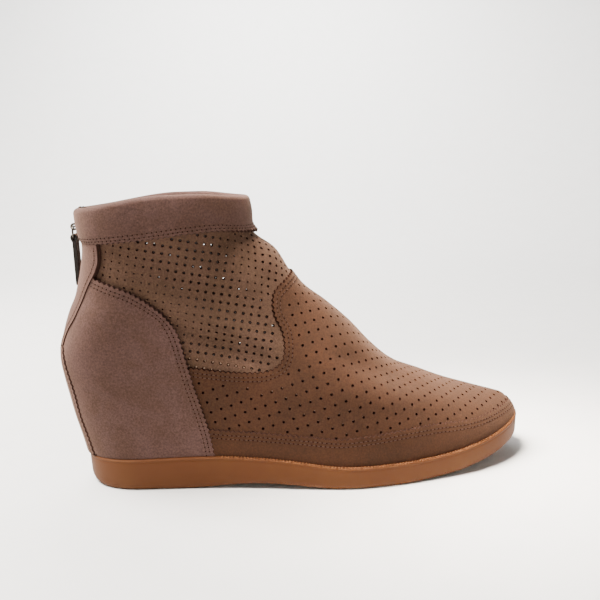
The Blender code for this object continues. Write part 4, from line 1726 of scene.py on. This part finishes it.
@dataclass
class Cuff:
    """A band of suede folded over the collar, open at the zip."""

    pattern: Pattern
    look: dict
    leather: float = 1.3 * MM
    fold: float = 1.8 * MM
    inside_depth: float = 15.0 * MM
    sink: float = 2.2 * MM
    sink_span: tuple = (0.040, 0.067)
    end_gap: float = 0.0053
    outer_share: float = 0.50
    arc_share: float = 0.16
    edge_room: float = 0.011
    tooth_pitch: float = 2.9 * MM
    tooth_depth: float = 0.9 * MM
    skirt: float = 0.5 * MM
    rows: tuple = (2.3 * MM, 4.2 * MM)
    puff: float = 0.9 * MM
    hug: float = 0.2 * MM
    normal_top: float = 0.97

    def build(self) -> None:
        """Build the cuff and its stitches."""
        self.last = last = self.pattern.last
        ends = [self.pattern.zip_edge(self.end_gap, side, 0.140, 0.160)[30, 0] for side in Side]
        self.u = np.linspace(*ends, 500)
        self.low = last.level_line(self.pattern.height_at(self.pattern.cuff), self.u)[:, 1]
        # Real height for a step of v near the collar
        top, below = (last.place(self.u, np.full_like(self.u, v)) for v in (0.999, 0.95))
        self.rise = np.linalg.norm(top - below, axis=1) / 0.049
        # Worn, the front of the collar sinks a little
        sunk = self.sink * ease(top[:, 0], *self.sink_span)
        self.high = 1 - (self.fold + self.leather + sunk) / self.rise
        self.band = (self.high - self.low) * self.rise
        piece = Leather(last, "cuff_leather", self.outline(), 0, 0, warp=self.warp, girth=0.135,
                        cell=1.5 * MM).build()
        dress(piece, (self.look["heel"], self.look["flesh"], self.look["edge"]),
              ("collar_cuff",))
        rows = []
        for distance in self.rows:
            y = self.outer_share * distance / self.band
            rows.append((self.warp(self.u, y, np.ones_like(y)), last.outward(self.u, self.low)))
        Thread(self.pattern, self.look).sew("cuff_stitches", rows, "heel_suede")

    def outline(self) -> Array:
        """The flat band's outline, with teeth along the outer band's lower edge.

        Returns:
            Places (u, y) of the nap side's edge and of the flesh side's, one row each.
        """
        length = lengths(self.last.place(self.u, self.low))
        spots = np.arange(0, length[-1], self.tooth_pitch / 2)
        teeth = np.interp(spots, length, self.u)
        deep = self.tooth_depth * (np.arange(len(teeth)) % 2) * self.outer_share
        band = np.interp(teeth, self.u, self.band)
        edge = np.column_stack([teeth, self.edge_room + deep / band])
        skirt = (0.0, self.skirt * self.outer_share / self.band.mean())
        edge = np.stack([edge, edge - skirt], axis=1)
        return closed(edge, [(teeth[-1], 0.995), (teeth[0], 0.995)])

    def warp(self, u: Array, y: Array, t: Array) -> Array:
        """Fold the flat band over the collar.

        Args:
            u: places round the boot.
            y: 0 at the outer band's lower edge, 1 at the inner band's.
            t: 0 on the leather's flesh side, 1 on its nap side.

        Returns:
            Points in metres.
        """
        last = self.last
        low, high, rise = (np.interp(u, self.u, part) for part in (self.low, self.high, self.rise))
        out = np.clip(y / self.outer_share, 0, 1)
        arc = np.clip((y - self.outer_share) / self.arc_share, 0, 1)
        rest = np.clip((y - self.outer_share - self.arc_share)
                       / (1 - self.outer_share - self.arc_share), 0, 1)
        v = low + (high - low) * out - rest * self.inside_depth / rise
        radius = self.fold + self.leather * t
        angle = math.pi * arc
        puff = self.puff * np.sin(math.pi * np.clip(out, 0, 1)) ** 0.8 * (arc <= 0)
        hug = self.hug * (1 - ease(out, 0.0, 0.35))
        offset = radius * np.cos(angle) + puff - hug
        near = np.minimum(v, self.normal_top)
        upward = unit(last.jacobian(u, near)[1])
        return (last.place(u, v) + last.outward(u, near) * offset[:, None]
                + upward * (radius * np.sin(angle))[:, None])


# The zip

@dataclass
class Zip:
    """The back zip: tape, teeth, slider, ring and suede puller."""

    pattern: Pattern
    look: dict
    joint: dict
    tape_span: tuple = (0.0835, 0.1605)
    tape_low: float = -1.5 * MM
    tape_high: float = -0.5 * MM
    teeth_span: tuple = (0.0845, 0.1590)
    tooth: tuple = (0.95 * MM, 2.0 * MM, 1.1 * MM)
    tooth_pitch: float = 1.5 * MM
    tooth_side: float = 0.75 * MM
    slider_deep: float = 0.0026
    bridge_outer: float = 2.1 * MM
    bridge_inner: float = 0.98 * MM
    bridge_half: float = 1.2 * MM
    ring_width: float = 0.0102
    ring_drop: float = 0.0058
    ring_corner: float = 0.0022
    wire: float = 1.1 * MM
    tab_length: float = 0.027
    tab_width: float = 0.0080
    tab_leather: float = 1.0 * MM

    def build(self) -> None:
        """Build the zip."""
        self.last = self.pattern.last
        self.hinge = np.array(self.joint["pos_m"])
        self.tape()
        self.teeth()
        self.slider()
        self.ring()
        self.puller()

    def tape(self) -> None:
        """The woven tape behind the teeth."""
        half = self.pattern.zip_half - 0.2 * MM
        outer, inner = (self.pattern.zip_edge(half, side, *self.tape_span) for side in Side)
        outline = closed(inner - (2.0, 0.0), outer[::-1])
        piece = Leather(self.last, "zip_ribbon", outline, self.tape_low, self.tape_high,
                        cell=1.0 * MM).build()
        dress(piece, (self.look["tape"],) * 3, ("zip_tape",))

    def teeth(self) -> None:
        """Two rows of interlocked teeth."""
        tooth = add(bpy.ops.mesh.primitive_cube_add, size=1)
        with edit_mode(tooth):
            bpy.ops.transform.resize(value=self.tooth)
            bpy.ops.mesh.bevel(offset=0.25 * MM, segments=1, affect='EDGES')
        master = take(tooth)
        v = self.pattern.zip_edge(0.1 * MM, Side.OUTER, *self.teeth_span)[:, 1]
        path = even(self.last.place(np.zeros_like(v), v, -0.1 * MM), self.tooth_pitch / 2)
        up = unit(np.gradient(path, axis=0))
        side = np.tile([0.0, 1.0, 0.0], (len(path), 1))
        out = np.cross(up, side)
        turns = np.where(np.arange(len(path)) % 2, self.tooth_side, -self.tooth_side)
        places = path + side * turns[:, None]
        teeth = scatter("zip_teeth", master, places, np.stack([up, side, out], axis=1))
        shade(teeth, 30)
        dress(teeth, (self.look["nickel"],))

    def slider(self) -> None:
        """The slider's body with the bridge that carries the ring."""
        low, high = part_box("zip_slider")
        back = high.x
        body_face = back - self.slider_deep
        middle = (low.z + high.z) / 2
        height, width = high.z - low.z, high.y - low.y
        body = add(bpy.ops.mesh.primitive_cube_add, size=1,
                   location=((body_face + back) / 2, 0, middle))
        body.name = "slider_body"
        with edit_mode(body):
            bpy.ops.transform.resize(value=(back - body_face, width, height))
            bpy.ops.mesh.subdivide(number_cuts=5)
        bpy.ops.object.transform_apply(location=True, rotation=False, scale=False)
        points = coordinates(body)
        up = (points[:, 2] - middle) / (height / 2)
        # The nose is wide, the tail narrow, and the waist between them drawn in
        points[:, 1] *= 0.84 + 0.16 * up - 0.10 * np.exp(-((up + 0.1) / 0.35) ** 2)
        domed = (back - points[:, 0]) / (back - body_face)
        points[:, 0] += 0.35 * MM * domed * (np.abs(points[:, 1]) / (width / 2)) ** 2
        move_points(body, points)
        apply(body, 'BEVEL', width=0.35 * MM, segments=3, limit_method='ANGLE')
        join(body, self.bridge(body_face))
        shade(body, 35)
        dress(body, (self.look["nickel"],), ("zip_slider",))

    def bridge(self, body_face: float) -> bpy.types.Object:
        """The arch over the ring's wire.

        Args:
            body_face: x of the slider body's outer face, in which the arch's feet stand.

        Returns:
            The arch.
        """
        x, _, z = self.hinge
        outer, inner, half = self.bridge_outer, self.bridge_inner, self.bridge_half
        turn = np.linspace(math.radians(58), math.radians(302), 22)
        over, under = ([(x + r * math.cos(a), z + r * math.sin(a)) for a in way]
                       for r, way in ((outer, turn), (inner, turn[::-1])))
        root = body_face + 0.5 * MM
        path = (over + [(root, z - outer), (root, z - inner)]
                + under + [(root, z + inner), (root, z + outer)])
        arch = add(bpy.ops.mesh.primitive_circle_add, vertices=len(path), radius=1,
                   fill_type='NGON')
        move_points(arch, np.array([(px, -half, pz) for px, pz in path]))
        thicken(arch, (0, 2 * half, 0))
        apply(arch, 'BEVEL', width=0.22 * MM, segments=2, limit_method='ANGLE')
        return arch

    def ring(self) -> None:
        """The wire ring: a rounded rectangle of round wire."""
        corners = []
        for side, row, start in ((1, -1, 0.0), (-1, -1, 0.5), (-1, 1, 1.0), (1, 1, 1.5)):
            y = side * (self.ring_width / 2 - self.ring_corner)
            z = -self.ring_corner if row < 0 else -self.ring_drop + self.ring_corner
            for a in np.pi * (start + np.linspace(0, 0.5, 8)):
                corners.append((0, y + self.ring_corner * math.cos(a),
                                z + self.ring_corner * math.sin(a)))
        path = np.array(corners) + self.hinge
        run = unit(np.roll(path, -1, axis=0) - np.roll(path, 1, axis=0))
        ring = sheet_grid("ring_wire", len(path), 14)
        flat = coordinates(ring)
        step = np.round(flat[:, 0] * len(path)).astype(int) % len(path)
        angle = 2 * np.pi * flat[:, 1]
        side = np.cross(run, [1.0, 0, 0])[step]
        points = path[step] + self.wire / 2 * (np.cos(angle)[:, None] * side
                                               + np.sin(angle)[:, None] * [1.0, 0, 0])
        move_points(ring, points)
        weld(ring)
        shade(ring, 60)
        dress(ring, (self.look["nickel"],), ("pull_ring",), "zip_pull")

    def puller(self) -> None:
        """The suede strap folded round the ring, with its two layers sewn together."""
        low = self.hinge[2] - self.ring_drop
        radius = self.wire / 2 + 0.4 * MM + self.tab_leather / 2
        foot = low - self.tab_length
        gap = self.tab_leather / 2 + 0.03 * MM
        leg = np.linspace(foot, low - 1.9 * radius, 40)
        turn = np.linspace(-0.28, math.pi + 0.28, 18)
        loop = [(radius * math.cos(a), low + radius * math.sin(a)) for a in turn]
        path = np.array([(gap, z) for z in leg] + loop + [(-gap, z) for z in leg[::-1]])
        path = even(smooth_line(path, 0.4 * MM), 0.5 * MM)
        strap = sheet_grid("puller_strap", len(path) - 1, 12)
        flat = coordinates(strap)
        step = np.clip(np.round(flat[:, 0] * (len(path) - 1)).astype(int), 0, len(path) - 1)
        centre = path[step]
        above = centre[:, 1] - foot
        narrow = np.sqrt(np.clip(1 - (1 - np.clip(above / (2.5 * MM), 0, 1)) ** 2, 0.0, 1))
        width = self.tab_width * (0.62 + 0.38 * narrow)
        width = np.where(above > 0.020, self.tab_width * 0.98, width)
        y = (flat[:, 1] - 0.5) * width
        move_points(strap, np.column_stack([self.hinge[0] + centre[:, 0], y, centre[:, 1]]))
        for _ in range(2):
            strap.data.materials.append(None)
        apply(strap, 'SOLIDIFY', thickness=self.tab_leather, offset=0.0, use_rim=True,
              material_offset_rim=1)
        weld(strap)
        shade(strap, 40)
        dress(strap, (self.look["heel"], self.look["flesh"]), ("pull_tab",),
              "zip_pull")
        rows = []
        face = gap + self.tab_leather / 2
        for out in (1, -1):
            for y in (-0.0028, 0.0028):
                z = np.linspace(foot + 2.2 * MM, low - 4.5 * MM, 30)
                points = np.column_stack([np.full(30, self.hinge[0] + out * face),
                                          np.full(30, y), z])
                rows.append((points, np.tile([float(out), 0, 0], (30, 1))))
        Thread(self.pattern, self.look, pitch=1.8 * MM).sew("puller_stitches", rows,
                                                            "vamp_suede", "zip_pull")


# The sole

@dataclass
class Sole:
    """Moulded gum rubber: a band with a ribbed lip, and a tread."""

    last: Last
    look: dict
    around: int = 320
    rib: tuple = (0.50 * MM, 0.45 * MM, 0.80 * MM)
    rib_pitch: float = 1.8 * MM
    lip_rib_at: tuple = (0.45 * MM, 0.15 * MM)
    edge_rib_at: tuple = (0.75 * MM, 1.5 * MM)
    groove_mm: float = 6.4
    groove_wave_mm: tuple = (2.2, 3.2)
    groove_wall: tuple = (0.62, 0.85)
    groove_rim_mm: tuple = (4.0, 6.5)
    groove_deep: float = 0.9 * MM

    def build(self) -> None:
        """Build the sole and its ribs."""
        rows = self.profile()
        rings = np.array([self.ring(inset, height) for inset, height in rows])
        band = self.skin("rubber_sole", np.concatenate([rings, rings[:, :1]], axis=1))
        under = self.lid("tread", rings[0], grooves=True)
        over = self.lid("sole_top", rings[-1], grooves=False)
        join(band, under, over)
        weld(band, 0.02 * MM)
        shade(band, 50)
        dress(band, (self.look["gum"],), ("outsole",))
        self.ribs()

    def profile(self) -> list:
        """Rows of the band from the tread to the top: inset, and height as a function.

        Returns:
            Pairs of an inset and a function of x.
        """
        last = self.last
        bottom = [(2.6, 0.0), (2.2, 0.05), (1.55, 0.38), (0.95, 1.05), (0.55, 2.0), (0.35, 3.0)]
        top = [(0.05, -4.4), (0.0, -2.6), (0.03, -1.9), (0.13, -1.62), (0.13, -1.5),
               (-0.03, -1.3), (-0.12, -0.8), (-0.05, -0.3), (0.25, -0.05), (0.9, 0.0)]
        low = [(a * MM, lambda x, b=b: last.sole_bottom(x) + b * MM) for a, b in bottom]
        high = [(a * MM, lambda x, b=b: last.sole_top(x) + b * MM) for a, b in top]
        return low + high

    def ring(self, inset: float, height: Callable) -> Array:
        """One closed ring of the sole.

        Args:
            inset: how far it lies inside the sole's widest outline.
            height: its height as a function of x.

        Returns:
            The ring's points, from the back over the outer side.
        """
        last = self.last
        tip = last.length - last.heel_set
        share = (1 - np.cos(np.linspace(0, np.pi, 900))) / 2
        x = -last.heel_set + inset + (last.length - 2 * inset) * share
        sides = []
        for side in (-1, 1):
            width = last.plan_width(x, side) - inset
            width = width * rounding((x + last.heel_set - inset) / last.heel_round)
            width = width * rounding((tip - inset - x) / last.toe_round)
            path = np.stack([x, last.swing(x) + side * width, height(x)], axis=1)
            length = lengths(path)
            sides.append(read(path, length, np.linspace(0, length[-1], self.around // 2 + 1)))
        return join_sides(*sides)

    @staticmethod
    def skin(name: str, grid: Array) -> bpy.types.Object:
        """A sheet through a grid of points, made from a flat grid.

        Args:
            name: the sheet's name.
            grid: its points, rows x columns x 3.

        Returns:
            The sheet.
        """
        rows, columns = grid.shape[:2]
        sheet = sheet_grid(name, columns - 1, rows - 1)
        flat = coordinates(sheet)
        i = np.round(flat[:, 0] * (columns - 1)).astype(int)
        j = np.round(flat[:, 1] * (rows - 1)).astype(int)
        move_points(sheet, grid[j, i])
        return sheet

    def lid(self, name: str, ring: Array, grooves: bool) -> bpy.types.Object:
        """Close a ring across, with shallow wavy tread grooves if wanted.

        Args:
            name: the lid's name.
            ring: the closed ring.
            grooves: whether the tread's grooves are cut.

        Returns:
            The lid.
        """
        half = self.around // 2
        outer = ring[:half + 1]
        inner = np.concatenate([ring[:1], ring[:half - 1:-1]])
        across = np.linspace(0, 1, 25)[:, None, None]
        grid = outer * (1 - across) + inner * across
        if grooves:
            height = self.last.sole_bottom(grid[..., 0])
            grid[1:-1, :, 2] = height[1:-1]
            x, y = grid[..., 0] / MM, grid[..., 1] / MM
            swing, reach = self.groove_wave_mm
            turns = (x + swing * np.sin(y / reach)) / self.groove_mm
            wave = np.abs(np.mod(turns, 1.0) - 0.5) * 2
            edge = np.minimum(across[..., 0], 1 - across[..., 0]) * np.ptp(y, axis=0)
            cut = ease(wave, *self.groove_wall) * ease(edge, *self.groove_rim_mm)
            grid[..., 2] += self.groove_deep * cut
        return self.skin(name, grid)

    def ribs(self) -> None:
        """Small upright ribs on the lip round the toe, and along the ball's lower edge."""
        rib = add(bpy.ops.mesh.primitive_uv_sphere_add, segments=6, ring_count=6, radius=1)
        with edit_mode(rib):
            bpy.ops.transform.resize(value=self.rib)
        master = take(rib)
        last = self.last
        inset, above = self.lip_rib_at
        lip = self.ring(inset, lambda x: last.sole_top(x) + above)
        inset, rise = self.edge_rib_at
        low = self.ring(inset, lambda x: last.sole_bottom(x) + rise)
        for name, path, span, size in (("lip_ribs", lip, (0.30, 1.0), 1.0),
                                       ("edge_ribs", low, (0.42, 0.80), 0.95)):
            path = even(path, self.rib_pitch, closed=True)
            run = unit(np.roll(path, -1, axis=0) - np.roll(path, 1, axis=0))
            up = np.tile([0.0, 0.0, 1.0], (len(path), 1))
            out = unit(np.cross(run, up))
            share = last.share(path[:, 0])
            keep = (share > span[0]) & (share < span[1] + 0.01)
            frames = np.stack([run, out, np.cross(out, run) * -size], axis=1)
            ribs = scatter(name, master, path[keep], frames[keep])
            weld(ribs, 0.001 * MM)
            shade(ribs, 60)
            # The paler rib finish is partly painted highlight where the ribs catch the light
            dress(ribs, (self.look["lip"],))


# Floor, light and camera

@dataclass
class Studio:
    """A plain pale floor, soft light and the photograph's camera."""

    place: tuple = (0.070, -0.400, 0.174)
    yaw: float = -3.8
    pitch: float = 10.6
    roll: float = -1.9
    lens: float = 42.0
    sky: str = "#FAFAFB"
    sky_strength: float = 0.06
    sheet: float = 4.0
    flat_reach: float = 0.9
    sweep: float = 1.1
    paper: Plain = Plain("matt studio paper", "#CDCCCA", "#CBCAC8", 2.0, 0.95, 0.02, 0.02)

    def build(self) -> None:
        """Set up the floor, the lights and the camera."""
        self.floor()
        self.light("key", (-0.42, 0.03, 0.98), 0.60, 84.0, "#FFFAF4")
        self.light("toe", (0.04, -0.06, 0.56), 0.16, 1.15, "#FFF4E8", (0.20, -0.005, 0.03), 34.0)
        self.light("rim", (0.10, 1.10, 1.00), 0.80, 44.0, "#FFFFFF", (0.1, 1.5, 0.1))
        world = bpy.data.worlds.new("studio")
        world.use_nodes = True
        background = world.node_tree.nodes["Background"]
        background.inputs["Color"].default_value = linear(self.sky)
        background.inputs["Strength"].default_value = self.sky_strength
        bpy.context.scene.world = world
        self.camera()

    def floor(self) -> None:
        """A sheet of paper under the boot that sweeps up far away on every side."""
        floor = sheet_grid("floor", 60, 60)
        spread = (coordinates(floor)[:, :2] - 0.5) * self.sheet
        far = np.clip(np.hypot(spread[:, 0], spread[:, 1]) - self.flat_reach, 0, 9)
        move_points(floor, np.column_stack([spread, self.sweep * far ** 2]))
        shade(floor, 60)
        floor.data.materials.append(self.paper.build())

    @staticmethod
    def light(name: str, place: tuple, size: float, power: float, colour: str,
              aim: tuple = (0.08, 0.0, 0.07), beam: float = 180.0) -> None:
        """A square soft box turned to a point of the boot, its beam's angle in degrees.

        Args:
            name: the lamp's name.
            place: where it hangs.
            size: its width.
            power: its power in watts.
            colour: its sRGB colour.
            aim: the point that it is turned to.
            beam: its beam's angle in degrees.
        """
        lamp = bpy.data.lights.new(name, 'AREA')
        lamp.size = size
        lamp.energy = power
        lamp.spread = math.radians(beam)
        lamp.color = linear(colour)[:3]
        thing = bpy.data.objects.new(name, lamp)
        bpy.context.collection.objects.link(thing)
        thing.location = place
        thing.rotation_euler = (Vector(aim) - Vector(place)).to_track_quat('-Z', 'Y').to_euler()

    def camera(self) -> None:
        """The camera at the photograph's place and angle."""
        yaw, pitch, roll = (math.radians(a) for a in (self.yaw, self.pitch, self.roll))
        ahead = Vector((-math.sin(yaw) * math.cos(pitch), math.cos(yaw) * math.cos(pitch),
                        -math.sin(pitch)))
        right = Vector((math.cos(yaw), math.sin(yaw), 0))
        up = right.cross(ahead)
        right, up = (math.cos(roll) * right + math.sin(roll) * up,
                     math.cos(roll) * up - math.sin(roll) * right)
        lens = bpy.data.cameras.new("camera")
        lens.lens = self.lens
        lens.sensor_width = 36.0
        lens.clip_start = 0.01
        camera = bpy.data.objects.new("camera", lens)
        bpy.context.collection.objects.link(camera)
        turn = Matrix((right, up, -ahead)).transposed()
        camera.matrix_world = Matrix.Translation(self.place) @ turn.to_4x4()
        bpy.context.scene.camera = camera


def main() -> None:
    """Build the boot and its surroundings."""
    logging.basicConfig(level=logging.INFO, format="%(message)s")
    look = Finishes().build()
    last = Last()
    pattern = Pattern(last)
    Upper(pattern, look).build()
    Cuff(pattern, look).build()
    Zip(pattern, look, frame["joints"][0]).build()
    Sole(last, look).build()
    # The wedge board's dark finish is painted shade for the inside seen through the holes
    for name, finish in (("heel_wedge", "board"), ("insole", "lining")):
        frame["nodes"][name].data.materials.clear()
        frame["nodes"][name].data.materials.append(look[finish])
    Studio().build()


if __name__ == "__main__":
    main()
